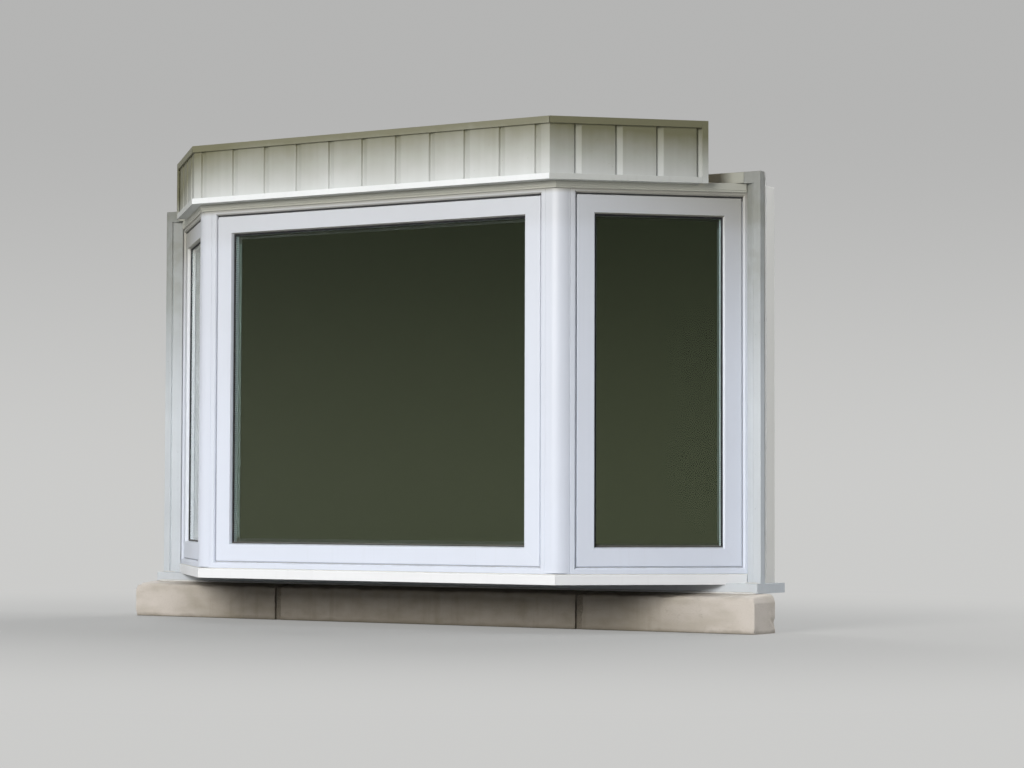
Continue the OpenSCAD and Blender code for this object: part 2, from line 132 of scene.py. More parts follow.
def rounded(outline: list[Span] | Array, radius: float, steps: int = 3) -> Array:
    """Rounds the corners of a closed outline.

    Each corner p gives way to points (1 - t)^2 a + 2 t (1 - t) p + t^2 b, where a and b lie on its
    two edges at the radius from p, or at 45 % of the shorter edge.

    Args:
        outline: corners in order, in metres.
        radius: distance from a corner to where its rounding starts.
        steps: number of pieces that each rounding is cut into.

    Returns:
        The points of the rounded outline, two numbers each.
    """
    p = np.array(outline, float)
    back, ahead = np.roll(p, 1, axis=0) - p, np.roll(p, -1, axis=0) - p
    back_len, ahead_len = np.linalg.norm(back, axis=1), np.linalg.norm(ahead, axis=1)
    cut = np.minimum(radius, 0.45 * np.minimum(back_len, ahead_len))
    a = (p + back * (cut / back_len)[:, None])[:, None]
    b = (p + ahead * (cut / ahead_len)[:, None])[:, None]
    t = np.linspace(0, 1, steps + 1)[None, :, None]
    return ((1 - t) ** 2 * a + 2 * t * (1 - t) * p[:, None] + t ** 2 * b).reshape(-1, 2)


def profile(points: list[Span], radius: float, steps: int = 3) -> Array:
    """Rounds a closed outline whose points and radius are in millimetres."""
    return rounded(np.array(points, float) * MM, radius * MM, steps)


def divided(outline: Array, step: float) -> Array:
    """Puts evenly spaced points on each edge of a closed outline.

    Args:
        outline: points in order, two numbers each.
        step: largest distance between neighbours.

    Returns:
        The longer list of points.
    """
    following = np.roll(outline, -1, axis=0)
    counts = np.maximum(1, np.ceil(np.linalg.norm(following - outline, axis=1) / step)).astype(int)
    start = np.repeat(outline, counts, axis=0)
    way = np.repeat(following - outline, counts, axis=0)
    first = np.repeat(np.cumsum(counts) - counts, counts)
    share = (np.arange(counts.sum()) - first) / np.repeat(counts, counts)
    return start + way * share[:, None]


def outward(outline: Array) -> Array:
    """Gives each point of a closed outline its outward direction.

    The direction is the chord between its two neighbours, turned by a right angle away from the
    outline's inside, which the sign of its area tells.

    Args:
        outline: points in order, two numbers each.

    Returns:
        One unit vector for each point.
    """
    following = np.roll(outline, -1, axis=0)
    chord = following - np.roll(outline, 1, axis=0)
    area = np.sum(outline[:, 0] * following[:, 1] - outline[:, 1] * following[:, 0])
    turned = np.stack([chord[:, 1], -chord[:, 0]], axis=1) * np.sign(area)
    return turned / np.maximum(np.linalg.norm(turned, axis=1), 1e-9)[:, None]


def raised(outline: Array, heights: Array) -> Array:
    """Stacks copies of an outline at several heights.

    Args:
        outline: points in order, two numbers each.
        heights: height of each copy.

    Returns:
        The grid of points, with one row for each height.
    """
    grid = np.empty((len(heights), len(outline), 3))
    grid[..., :2], grid[..., 2] = outline, heights[:, None]
    return grid


@dataclass
class Skin:
    """A closed surface: a grid of points whose columns go round it and whose rows go along it."""

    points: Array
    looped: bool = False

    def on(self, side: Side) -> "Skin":
        """Gives this surface of the right half, or its mirror image on the left."""
        return Skin(self.points * np.array([side.value, 1, 1]), self.looped)

    def twice(self) -> list["Skin"]:
        """Gives this surface on both sides."""
        return [self.on(side) for side in Side]

    @staticmethod
    def cells(grid: Array) -> Array:
        """Gives the four corners of each cell of a grid, in order round the cell."""
        around = [grid[:-1, :-1], grid[:-1, 1:], grid[1:, 1:], grid[1:, :-1]]
        return np.stack(around, axis=2).reshape(-1, 4, *grid.shape[2:])

    def faces(self, first: int) -> tuple[list[list[int]], Array]:
        """Joins the grid's points into faces that point outwards, and caps its ends.

        Looped rows need no caps. The sum of a . (b x c) over all triangles is six times the volume
        inside. Where it is negative, the corners of every face are taken the other way round.

        Args:
            first: index that the grid's first point has in the mesh.

        Returns:
            The faces, and a map position in metres for each of their corners.
        """
        rows, columns = self.points.shape[:2]
        index = np.arange(rows * columns).reshape(rows, columns)
        grid = np.vstack([index, index[:1]]) if self.looped else index
        quads = self.cells(np.hstack([grid, grid[:, :1]]))
        around = self.points[0]
        across = np.linalg.norm(np.roll(around, -1, axis=0) - around, axis=1)
        across = np.concatenate([[0], np.cumsum(across)])
        middle = self.points.mean(axis=1)
        middle = np.vstack([middle, middle[:1]]) if self.looped else middle
        along = np.concatenate([[0], np.cumsum(np.linalg.norm(np.diff(middle, axis=0), axis=1))])
        maps = self.cells(np.stack(np.meshgrid(across, along), axis=-1))
        caps = [] if self.looped else [index[0][::-1], index[-1]]
        fans = [np.stack([np.full(len(cap) - 2, cap[0]), cap[1:-1], cap[2:]], axis=1)
                for cap in caps]
        flat = self.points.reshape(-1, 3)
        a, b, c = np.moveaxis(flat[np.vstack([quads[:, :3], quads[:, [0, 2, 3]], *fans])], 1, 0)
        way = 1 if np.sum(a * np.cross(b, c)) > 0 else -1
        faces = [face[::way].tolist() for face in (*(quads + first), *(cap + first for cap in caps))]
        ends = [flat[cap[::way]][:, [0, 2]] for cap in caps]
        return faces, np.vstack([maps[:, ::way].reshape(-1, 2), *ends])


def make_piece(name: str, skins: list[Skin], smooth: float) -> bpy.types.Object:
    """Makes one object, at the origin, from closed surfaces.

    Args:
        name: the piece's name.
        skins: its surfaces.
        smooth: largest angle between two faces that still shade as one, in degrees.

    Returns:
        The new object.
    """
    points, faces, uvs, first = [], [], [], 0
    for skin in skins:
        own_faces, own_uvs = skin.faces(first)
        points.append(skin.points.reshape(-1, 3))
        faces += own_faces
        uvs.append(own_uvs)
        first += len(points[-1])
    mesh = bpy.data.meshes.new(name)
    mesh.from_pydata(np.vstack(points), [], faces)
    layer = mesh.uv_layers.new(name=UV_NAME)
    layer.data.foreach_set("uv", np.vstack(uvs).astype(np.float32).ravel())
    mesh.polygons.foreach_set("use_smooth", np.ones(len(mesh.polygons), bool))
    mesh.set_sharp_from_angle(angle=math.radians(smooth))
    piece = bpy.data.objects.new(name, mesh)
    bpy.context.scene.collection.objects.link(piece)
    normals = piece.modifiers.new("even_shading", "WEIGHTED_NORMAL")
    normals.keep_sharp = True
    return piece


def add(name: str, skins: list[Skin], finish: Material, node: str | None = None,
        smooth: float = 32) -> None:
    """Makes a piece, gives it its finish, hangs it on the root body, and hides its CAD node.

    Args:
        name: the piece's name.
        skins: its surfaces.
        finish: its material.
        node: the CAD node that it stands for.
        smooth: largest angle between two faces that still shade as one, in degrees.
    """
    piece = make_piece(name, skins, smooth)
    piece.data.materials.append(finish)
    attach(piece, ROOT)
    if node:
        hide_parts(node)
    LOG.info("made %s with %d faces", name, len(piece.data.polygons))


def dress(node: str, finish: Material, edge: float = 0.0) -> None:
    """Gives a CAD node its finish and, where an edge is given, broken edges of that width.

    Args:
        node: the node's name.
        finish: its material.
        edge: width of its broken edges in metres.
    """
    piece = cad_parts[node]
    piece.data.materials.clear()
    piece.data.materials.append(finish)
    if edge:
        join = piece.modifiers.new("join", "WELD")
        join.merge_threshold = 0.01 * MM
        bevel = piece.modifiers.new("broken_edges", "BEVEL")
        bevel.width, bevel.segments, bevel.limit_method = edge, 2, "ANGLE"
        bevel.angle_limit = math.radians(35)
    LOG.info("dressed %s", node)


@dataclass(frozen=True)
class Plane:
    """An upright plane with axes of its own: along it, into the room, and up."""

    origin: Span
    turn: float

    def place(self, points: Array) -> Array:
        """Turns (along, depth, height) into the row frame.

        x = origin x + along cos(turn) - depth sin(turn), and
        y = origin y + along sin(turn) + depth cos(turn).

        Args:
            points: places in the plane's own axes.

        Returns:
            The same places in the row frame.
        """
        along, depth, height = np.moveaxis(points, -1, 0)
        c, s = math.cos(self.turn), math.sin(self.turn)
        x = self.origin[0] + along * c - depth * s
        y = self.origin[1] + along * s + depth * c
        return np.stack([x, y, height], axis=-1)

    def upright(self, outline: Array, low: float, high: float, rows: int) -> Skin:
        """Raises an outline of (along, depth) points from one height to another."""
        return Skin(self.place(raised(outline, np.linspace(low, high, rows))))

    def run(self, outline: Array, start: float, end: float, slopes: Span) -> Skin:
        """Carries an outline of (depth, height) points along the plane.

        Each end lies at its own station plus its slope times the depth, which cuts a mitre.

        Args:
            outline: the profile.
            start: station of the first end.
            end: station of the last end.
            slopes: how much the two ends move along per unit of depth.

        Returns:
            The surface in the row frame.
        """
        ends = [np.column_stack([station + slope * outline[:, 0], outline])
                for station, slope in zip((start, end), slopes)]
        return Skin(self.place(np.array(ends)))


@dataclass(frozen=True)
class Opening:
    """A rectangle that mitred bars run round, on one face of the bay.

    The top bar's inner side may hang lower than the other bars' by a height of its own.
    """

    plane: Plane
    width: float
    low: float
    high: float
    hang: float = 0.0
    hang_from: float = 10 * MM
    seam: float = 1.3 * MM

    def ring(self, outline: Array, sunk: float) -> Skin:
        """Carries an outline of (inset, depth) points round the rectangle.

        A point at inset u meets each corner at (width / 2 - u, height / 2 - u) from the middle. Three
        rows draw each corner: one on each side of the mitre, half a weld's width away, and one in
        it, sunk to show the weld.

        Args:
            outline: the bar's profile.
            sunk: depth of the weld line.

        Returns:
            The surface in the row frame.
        """
        middle, half = (self.low + self.high) / 2, (self.high - self.low) / 2
        weld = outline - sunk * outward(outline)
        signs = [(-1, -1), (1, -1), (1, 1), (-1, 1)]
        ways = [(1, 0), (0, 1), (-1, 0), (0, -1)]
        rows = []
        for i, (sx, sz) in enumerate(signs):
            before, after = np.array(ways[i - 1]), np.array(ways[i])
            for shape, step in ((outline, -self.seam * before), (weld, np.zeros(2)),
                                (outline, self.seam * after)):
                hang = np.where((sz > 0) & (shape[:, 0] > self.hang_from), self.hang, 0)
                x = sx * (self.width / 2 - shape[:, 0]) + step[0]
                z = middle + sz * (half - shape[:, 0]) - hang + step[1]
                rows.append(np.stack([x, shape[:, 1], z], axis=-1))
        return Skin(self.plane.place(np.array(rows)), looped=True)


class Wire:
    """One output of a node. Arithmetic on it adds Math nodes to its tree."""

    def __init__(self, tree: "Tree", socket: bpy.types.NodeSocket) -> None:
        """Wraps a socket of a tree."""
        self.tree, self.socket = tree, socket

    def maths(self, operation: str, *values: "Wire | float") -> "Wire":
        """Adds a Math node that takes the values in order."""
        return self.tree.node("ShaderNodeMath", dict(enumerate(values)), operation=operation)

    def __add__(self, other: "Wire | float") -> "Wire":
        """This plus other."""
        return self.maths("ADD", self, other)

    def __sub__(self, other: "Wire | float") -> "Wire":
        """This minus other."""
        return self.maths("SUBTRACT", self, other)

    def __rsub__(self, other: float) -> "Wire":
        """Other minus this."""
        return self.maths("SUBTRACT", other, self)

    def __mul__(self, other: "Wire | float") -> "Wire":
        """This times other."""
        return self.maths("MULTIPLY", self, other)

    def __abs__(self) -> "Wire":
        """This without its sign."""
        return self.maths("ABSOLUTE", self)

    def __or__(self, other: "Wire | float") -> "Wire":
        """The larger of this and other."""
        return self.maths("MAXIMUM", self, other)

    __radd__ = __add__
    __rmul__ = __mul__

    def fract(self) -> "Wire":
        """What is left of this past its whole number."""
        return self.maths("FRACT", self)

    def ramp(self, low: float, high: float, kind: str = "LINEAR") -> "Wire":
        """Goes from 0 where this is low to 1 where it is high. High may be the lower."""
        values = {"Value": self, "From Min": low, "From Max": high}
        return self.tree.node("ShaderNodeMapRange", values, interpolation_type=kind)

    def rise(self, low: float, high: float) -> "Wire":
        """Goes as a ramp does, but starts and ends smoothly."""
        return self.ramp(low, high, "SMOOTHSTEP")


class Tree:
    """The node tree of one material, or of the world."""

    def __init__(self, name: str, world: bool = False) -> None:
        """Makes an empty material or world.

        Args:
            name: its name.
            world: whether to make a world.
        """
        self.owner = (bpy.data.worlds if world else bpy.data.materials).new(name)
        self.owner.use_nodes = True
        self.nodes, self.links = self.owner.node_tree.nodes, self.owner.node_tree.links
        self.nodes.clear()

    def node(self, kind: str, values: dict, output: int | str = 0, **settings: object) -> Wire:
        """Adds a node.

        Args:
            kind: the node's type.
            values: a number, colour or wire for each socket, by name or index.
            output: the output that is wanted.
            settings: the node's own settings, which are set first.

        Returns:
            The wanted output.
        """
        node = self.nodes.new(kind)
        for key, value in settings.items():
            setattr(node, key, value)
        for key, value in values.items():
            if isinstance(value, Wire):
                self.links.new(value.socket, node.inputs[key])
            elif isinstance(value, tuple) and node.inputs[key].type == "RGBA":
                node.inputs[key].default_value = (*value, 1)[:4]
            else:
                node.inputs[key].default_value = value
        return Wire(self, node.outputs[output])

    def split(self, vector: Wire) -> tuple[Wire, Wire, Wire]:
        """Splits a vector into its X, Y and Z."""
        one = self.node("ShaderNodeSeparateXYZ", {0: vector})
        return tuple(Wire(self, out) for out in one.socket.node.outputs)

    @cached_property
    def place(self) -> Wire:
        """The place on the object."""
        return self.node("ShaderNodeTexCoord", {}, output="Object")

    @cached_property
    def axes(self) -> tuple[Wire, Wire, Wire]:
        """The X, Y and Z of the place on the object."""
        return self.split(self.place)

    @cached_property
    def facing(self) -> tuple[Wire, Wire, Wire]:
        """The X, Y and Z of the direction that the surface faces."""
        return self.split(self.node("ShaderNodeTexCoord", {}, output="Normal"))

    @cached_property
    def map_place(self) -> Wire:
        """The place on the piece's own map, in metres round and along its profile."""
        return self.node("ShaderNodeUVMap", {}, uv_map=UV_NAME)

    def ray(self, kind: str) -> Wire:
        """Gives 1 for rays of a kind, such as Camera or Shadow."""
        return self.node("ShaderNodeLightPath", {}, output=f"Is {kind} Ray")

    def seen(self) -> Wire:
        """Gives 1 for the camera's own rays, for mirrored ones and for those through glass."""
        return self.ray("Camera") | self.ray("Glossy") | self.ray("Transmission")

    def noise(self, scale: float, detail: float = 3, stretch: Triple = (1, 1, 1),
              start: Wire | None = None, turn: Triple = (0, 0, 0)) -> Wire:
        """Adds a noise texture.

        Args:
            scale: cells per metre.
            detail: number of finer layers.
            stretch: how much the pattern is squeezed along each axis.
            start: the vector that the pattern follows, or else the place on the object.
            turn: angles that the pattern is turned by, in radians.

        Returns:
            Its value, from 0 to 1.
        """
        values = {0: start or self.place, "Rotation": turn, "Scale": stretch}
        where = self.node("ShaderNodeMapping", values)
        return self.node("ShaderNodeTexNoise", {"Vector": where, "Scale": scale, "Detail": detail})

    def blend(self, share: Wire | float, a: Wire | Triple, b: Wire | Triple) -> Wire:
        """Mixes two colours."""
        return self.node("ShaderNodeMix", {0: share, 6: a, 7: b}, output=2, data_type="RGBA")

    def relief(self, height: Wire, depth: float, strength: float) -> Wire:
        """Turns a height from 0 to 1 into a bump of a depth in metres."""
        values = {"Height": height, "Distance": depth, "Strength": strength}
        return self.node("ShaderNodeBump", values)

    def finish(self, colour: Wire | Triple, roughness: Wire | float, bump: Wire,
               veil: Triple | None = None, **sockets: float | Triple) -> Material:
        """Ends the tree in one Principled shader.

        Args:
            colour: base colour.
            roughness: roughness.
            bump: output of a Bump node.
            veil: colour that the lamps' light takes on as it passes through, or None to stop it.
            sockets: other sockets, with _ for each space in their names.

        Returns:
            The finished material.
        """
        values = {"Base Color": colour, "Roughness": roughness, "Normal": bump}
        values.update({name.replace("_", " "): value for name, value in sockets.items()})
        shader = self.node("ShaderNodeBsdfPrincipled", values)
        if veil:
            clear = self.node("ShaderNodeBsdfTransparent", {"Color": veil})
            shader = self.node("ShaderNodeMixShader", {0: self.ray("Shadow"), 1: shader, 2: clear})
        self.show(shader)
        return self.owner

    def show(self, shader: Wire) -> None:
        """Shows a shader on the surface, or on the world.

        Args:
            shader: the shader's output.
        """
        kind = "World" if isinstance(self.owner, bpy.types.World) else "Material"
        end = self.nodes.new("ShaderNodeOutput" + kind)
        self.links.new(shader.socket, end.inputs["Surface"])


@dataclass(frozen=True)
class Vinyl:
    """White extruded vinyl, with dust on its ledges and painted shade that darkens it from above.

    The painted shade grows with height over the whole window. It grows further at the heads of
    the frames and of the sashes, most on what faces down there, high up towards the wall, and at
    the left end.
    """

    name: str = "white_vinyl"
    colour: Triple = (0.775, 0.82, 0.92)
    dust: Triple = (0.45, 0.44, 0.41)
    # The colour of the painted shade, whose shares are film and the fields after it.
    shade_colour: Triple = (0.33, 0.32, 0.28)
    sheen: float = 0.34
    film: float = 0.38
    film_heights: Span = (0.25, 1.45)
    frame_head: float = 0.5
    frame_head_heights: Span = (1.322, 1.343)
    sash_head: float = 0.10
    underside: float = 0.4
    sash_head_heights: Span = (1.20, 1.265)
    nook: float = 0.58
    nook_heights: Span = (0.75, 1.36)
    nook_depths: Span = (-0.36, 0.13)
    left_end: float = 0.12
    left_stations: Span = (-0.80, -1.02)

    def make(self) -> Material:
        """Builds the material.

        Returns:
            The finished material.
        """
        tree = Tree(self.name)
        x, y, z = tree.axes
        up = tree.facing[2]
        cloud = tree.noise(2.6, 4)
        film = tree.noise(34, 5)
        streaks = tree.noise(1, 4, (70, 70, 2.2))
        ledge = up.rise(0.35, 0.95) * film.rise(0.3, 0.7) * 0.30
        worn = cloud.rise(0.45, 0.75) * 0.05 + streaks.rise(0.55, 0.8) * 0.05
        colour = tree.blend(ledge + worn, self.colour, self.dust)
        # Painted shade: with height, at the heads, on undersides, by the wall, at the left end.
        high = z.ramp(*self.nook_heights)
        under = up.rise(-0.4, -0.9) * self.underside
        painted_shade = z.ramp(*self.film_heights) * self.film
        painted_shade += z.rise(*self.frame_head_heights) * self.frame_head
        painted_shade += z.rise(*self.sash_head_heights) * (under + self.sash_head)
        painted_shade += high * high * y.ramp(*self.nook_depths) * self.nook
        painted_shade += x.rise(*self.left_stations) * self.left_end
        colour = tree.blend(painted_shade + (cloud - 0.5) * 0.04, colour, self.shade_colour)
        die_lines = tree.noise(1, 3, (420, 1.5, 1), tree.map_place)
        height = die_lines * 0.7 + tree.noise(260, 2) * 0.3
        return tree.finish(colour, self.sheen + film * 0.12, tree.relief(height, 0.12 * MM, 0.35))


@dataclass(frozen=True)
class PaintedSheet:
    """Painted sheet metal, darkened below an edge and fading downwards: partly soiling, mostly
    painted shade.

    Top is the height of that edge, fade how far the darkening runs down, and half_run half of the
    edge's length. The other numbers are shares of the darkening: at its thickest, and of painted
    shade at both ends, towards the left, on undersides, and on faces that are turned sideways.
    """

    name: str
    colour: Triple
    grime_and_shade: Triple = (0.30, 0.29, 0.20)
    moss: Triple = (0.34, 0.36, 0.18)
    top: float = 0.0
    fade: float = 0.0
    half_run: float = 1.0
    strength: float = 0.0
    ends: float = 0.0
    left: float = 0.0
    underside: float = 0.0
    flanks: float = 0.0

    def make(self) -> Material:
        """Builds the material.

        Returns:
            The finished material.
        """
        tree = Tree(self.name)
        x, _, z = tree.axes
        sideways, _, up = tree.facing
        cloud = tree.noise(5, 4)
        fine = tree.noise(70, 5)
        streaks = tree.noise(1, 4, (48, 48, 1.6))
        colour = tree.blend(cloud.rise(0.35, 0.75) * 0.07, self.colour, self.grime_and_shade)
        dirt_and_shade = fine.rise(0.55, 0.8) * 0.05 + streaks.rise(0.5, 0.8) * 0.05
        if self.fade:
            reach = z + (cloud - 0.5) * (0.18 * self.fade) + (streaks - 0.5) * (0.12 * self.fade)
            ends = abs(x).rise(0.58 * self.half_run, 1.05 * self.half_run)
            left = x.rise(-0.42 * self.half_run, -self.half_run)
            # Painted shade fading down from the top edge, stronger at both ends and to the left.
            film = reach.ramp(self.top - self.fade, self.top) * self.strength
            dirt_and_shade = dirt_and_shade | film + ends * self.ends + left * self.left
            green = reach.rise(self.top - 0.8 * self.fade, self.top)
            spots = tree.noise(15, 5).rise(0.36, 0.66)
            colour = tree.blend(green * (0.15 + ends * 0.40) * spots, colour, self.moss)
            ticks = tree.noise(150, 2).rise(0.74, 0.77) * 0.4
            colour = tree.blend(ticks, colour, self.grime_and_shade)
        # Dust on ledges; painted shade on undersides and on sideways faces.
        turned = up.rise(0.5, 0.95) * fine * 0.35 + up.rise(-0.4, -0.9) * self.underside
        turned += abs(sideways).rise(0.4, 0.65) * self.flanks
        colour = tree.blend(dirt_and_shade + turned, colour, self.grime_and_shade)
        peel = tree.noise(330, 2) * 0.5 + tree.noise(12, 2) * 0.5
        return tree.finish(colour, 0.42 + fine * 0.16, tree.relief(peel, 0.5 * MM, 0.22))


@dataclass(frozen=True)
class Limestone:
    """Sawn and weathered limestone: mottled and pitted, with a painted shadow of the bay above.

    The painted shadow, with some moisture in it, darkens it below a height under the window, less
    towards the sill's ends. It is also darker at its foot.
    """

    name: str = "limestone"
    pale: Triple = (0.63, 0.575, 0.515)
    dark: Triple = (0.46, 0.415, 0.345)
    pits_and_shadow: Triple = (0.13, 0.108, 0.064)
    shadow_heights: Span = (0.04, 0.125)
    shadow_stations: Span = (1.15, 0.74)
    foot_heights: Span = (0.014, 0.0)

    def make(self) -> Material:
        """Builds the material.

        Returns:
            The finished material.
        """
        tree = Tree(self.name)
        x, _, z = tree.axes
        beds = tree.noise(7, 6, (1, 1, 2.6))
        grain = tree.noise(210, 6)
        blots = tree.noise(22, 6)
        colour = tree.blend(beds.rise(0.25, 0.6) * 0.7 + 0.3, self.dark, self.pale)
        colour = tree.blend(blots.rise(0.55, 0.78) * 0.3, colour, self.dark)
        colour = tree.blend(grain.rise(0.2, 0.45) * 0.5 + 0.5, self.dark, colour)
        scratches = tree.noise(1, 4, (9, 9, 150), turn=(0, 0.5, 0)).rise(0.62, 0.72)
        colour = tree.blend(scratches * 0.22, colour, self.dark)
        spots = tree.node("ShaderNodeTexVoronoi", {"Scale": 120.0, "Randomness": 1.0}, feature="F1")
        pits = spots.rise(0.18, 0.06) * blots.rise(0.44, 0.62)
        colour = tree.blend(pits * 0.6, colour, self.pits_and_shadow)
        uneven = z + (beds - 0.5) * 0.05 + (blots - 0.5) * 0.03
        runs = tree.noise(1, 4, (26, 26, 2)).rise(0.5, 0.75)
        # Painted shadow of the bay, with some moisture, weaker towards the sill's ends.
        shade = uneven.rise(*self.shadow_heights) * 0.8 | 0.60 + (blots - 0.5) * 0.2 + runs * 0.1
        colour = tree.blend(shade * abs(x).rise(*self.shadow_stations), colour, self.pits_and_shadow)
        foot = (z + (blots - 0.5) * 0.02).rise(*self.foot_heights)
        colour = tree.blend(foot * 0.5, colour, self.pits_and_shadow)
        height = beds * 0.3 + blots * 0.3 + grain * 0.4 - pits * 0.6 - scratches * 0.15
        return tree.finish(colour, 0.86 + grain * 0.1, tree.relief(height, 2.4 * MM, 0.6))


@dataclass(frozen=True)
class Mortar:
    """Coarse lime mortar."""

    name: str = "mortar"
    colour: Triple = (0.17, 0.145, 0.11)
    sand: Triple = (0.34, 0.30, 0.24)

    def make(self) -> Material:
        """Builds the material.

        Returns:
            The finished material.
        """
        tree = Tree(self.name)
        grit = tree.noise(420, 4)
        lumps = tree.noise(60, 5)
        colour = tree.blend(grit.rise(0.4, 0.7) * 0.6 + lumps * 0.3, self.colour, self.sand)
        return tree.finish(colour, 0.95, tree.relief(grit * 0.5 + lumps * 0.5, 2.5 * MM, 0.8))


class Grain(Enum):
    """Which way the grain of a board runs, by how much it is squeezed along each axis."""

    ALONG_X = (1.2, 26.0, 26.0)
    UPRIGHT = (26.0, 26.0, 1.2)


@dataclass(frozen=True)
class Timber:
    """Wood with its grain: bare, or under a coat of paint that lets the grain tell.

    A painted board may be darkened underneath by painted shade. A sheet shows its plies on
    its edges.
    """

    name: str
    grain: Grain
    light: Triple = (0.70, 0.56, 0.38)
    dark: Triple = (0.45, 0.30, 0.16)
    plies: int = 0
    sheet: float = 12 * MM
    paint: Triple | None = None
    # Colour of the painted shade on faces that look down.
    under: Triple | None = None
    dust: Triple = (0.50, 0.47, 0.41)

    def make(self) -> Material:
        """Builds the material.

        Returns:
            The finished material.
        """
        tree = Tree(self.name)
        up, z = tree.facing[2], tree.axes[2]
        rings = tree.noise(1, 5, self.grain.value)
        fibres = tree.noise(9, 4, self.grain.value)
        bands = (rings * 9 + tree.noise(1.6, 3) * 2).fract()
        lines = bands.rise(0.15, 0.6) * bands.rise(1.0, 0.75)
        colour = tree.blend(lines * 0.6 + fibres * 0.3, self.light, self.dark)
        if self.plies:
            layer = (z * (self.plies / self.sheet)).fract().rise(0.45, 0.55)
            colour = tree.blend(abs(up).rise(0.6, 0.2) * layer * 0.55, colour, self.dark)
        height = lines * 0.4 + fibres * 0.6
        if self.paint is None:
            return tree.finish(colour, 0.72 + fibres * 0.15, tree.relief(height, 0.4 * MM, 0.6))
        brush = tree.noise(14, 4, self.grain.value)
        dust = up.rise(0.5, 0.95) * tree.noise(24, 5).rise(0.3, 0.75)
        coat = tree.blend(dust * 0.10 + brush.rise(0.5, 0.8) * 0.05, self.paint, self.dust)
        if self.under:
            # Painted shade, in patches, on faces that look down.
            patchy_shade = tree.noise(11, 5).rise(0.2, 0.8) * 0.35 + 0.65
            coat = tree.blend(up.rise(-0.3, -0.8) * patchy_shade, coat, self.under)
        height = brush * 0.7 + height * 0.3
        return tree.finish(coat, 0.38 + brush * 0.16, tree.relief(height, 0.25 * MM, 0.5))


@dataclass(frozen=True)
class Glazing:
    """Float glass, clear or tinted, a little dusty, with a painted tint on its reflections."""

    name: str
    tint: Triple
    veil: Triple | None = None
    # Tints the reflections yellow-green: a painted reflection colour.
    mirrored: Triple = (0.86, 0.94, 0.58)
    bending: float = 1.43

    def make(self) -> Material:
        """Builds the material.

        Returns:
            The finished material.
        """
        tree = Tree(self.name)
        smear = tree.noise(9, 5).rise(0.45, 0.8)
        rain = tree.noise(1, 4, (55, 55, 5)).rise(0.55, 0.85)
        roll = tree.relief(tree.noise(1.7, 2), 0.2 * MM, 0.3)
        return tree.finish(self.tint, smear * 0.035 + rain * 0.03, roll, self.veil,
                           Transmission_Weight=1.0, IOR=self.bending, Specular_Tint=self.mirrored)


@dataclass(frozen=True)
class Rubber:
    """Dull rubber or sealant, with dust on its ledges, and in shadow past one or two heights."""

    name: str
    colour: Triple
    dust: Triple = (0.30, 0.29, 0.26)
    dark_above: float = NEVER
    dark_below: float = -NEVER
    shadow: Triple = (0.03, 0.03, 0.028)

    def make(self) -> Material:
        """Builds the material.

        Returns:
            The finished material.
        """
        tree = Tree(self.name)
        film = tree.noise(60, 5)
        z, up = tree.axes[2], tree.facing[2]
        dust = film.rise(0.45, 0.8) * 0.1 + up.rise(0.2, 0.8) * 0.5
        colour = tree.blend(dust, self.colour, self.dust)
        dark = z.rise(self.dark_above - 8 * MM, self.dark_above)
        dark = dark | z.rise(self.dark_below + 4 * MM, self.dark_below)
        colour = tree.blend(dark * 0.9, colour, self.shadow)
        return tree.finish(colour, 0.62 + film * 0.2, tree.relief(film, 0.4 * MM, 0.5),
                           Specular_IOR_Level=0.22)


@dataclass(frozen=True)
class SpacerBar:
    """Matt aluminium with a row of pinholes, painted shade at the glass's head and on its ledges."""

    name: str = "spacer_bar"
    colour: Triple = (0.42, 0.49, 0.52)
    # The colour of the pinholes and of the painted shade.
    dark: Triple = (0.06, 0.07, 0.06)
    holes_per_metre: float = 160
    head_heights: Span = (1.25, 1.262)

    def make(self) -> Material:
        """Builds the material.

        Returns:
            The finished material.
        """
        tree = Tree(self.name)
        film = tree.noise(90, 4)
        brushed = tree.noise(1, 3, (600, 6, 1), tree.map_place)
        along = tree.split(tree.map_place)[1]
        holes = abs((along * self.holes_per_metre).fract() - 0.5).rise(0.14, 0.08)
        # Painted shade at the head of the glass, and on faces that look up.
        head = tree.axes[2].rise(*self.head_heights) * 0.85
        shade = holes * 0.5 + film * 0.15 | head | tree.facing[2].rise(0.5, 0.9) * 0.55
        colour = tree.blend(shade, self.colour, self.dark)
        return tree.finish(colour, 0.36 + film * 0.15, tree.relief(brushed - holes, 0.2 * MM, 0.5),
                           Metallic=0.15)


@dataclass(frozen=True)
class MouldedPlastic:
    """Moulded handle plastic with a fine grain, worn by hands."""

    name: str = "handle_plastic"
    colour: Triple = (0.78, 0.79, 0.80)
    worn: Triple = (0.46, 0.44, 0.40)

    def make(self) -> Material:
        """Builds the material.

        Returns:
            The finished material.
        """
        tree = Tree(self.name)
        grain = tree.noise(700, 2)
        touch = tree.noise(30, 4).rise(0.5, 0.8) * 0.12
        colour = tree.blend(touch, self.colour, self.worn)
        return tree.finish(colour, 0.42 + grain * 0.12, tree.relief(grain, 0.1 * MM, 0.5))


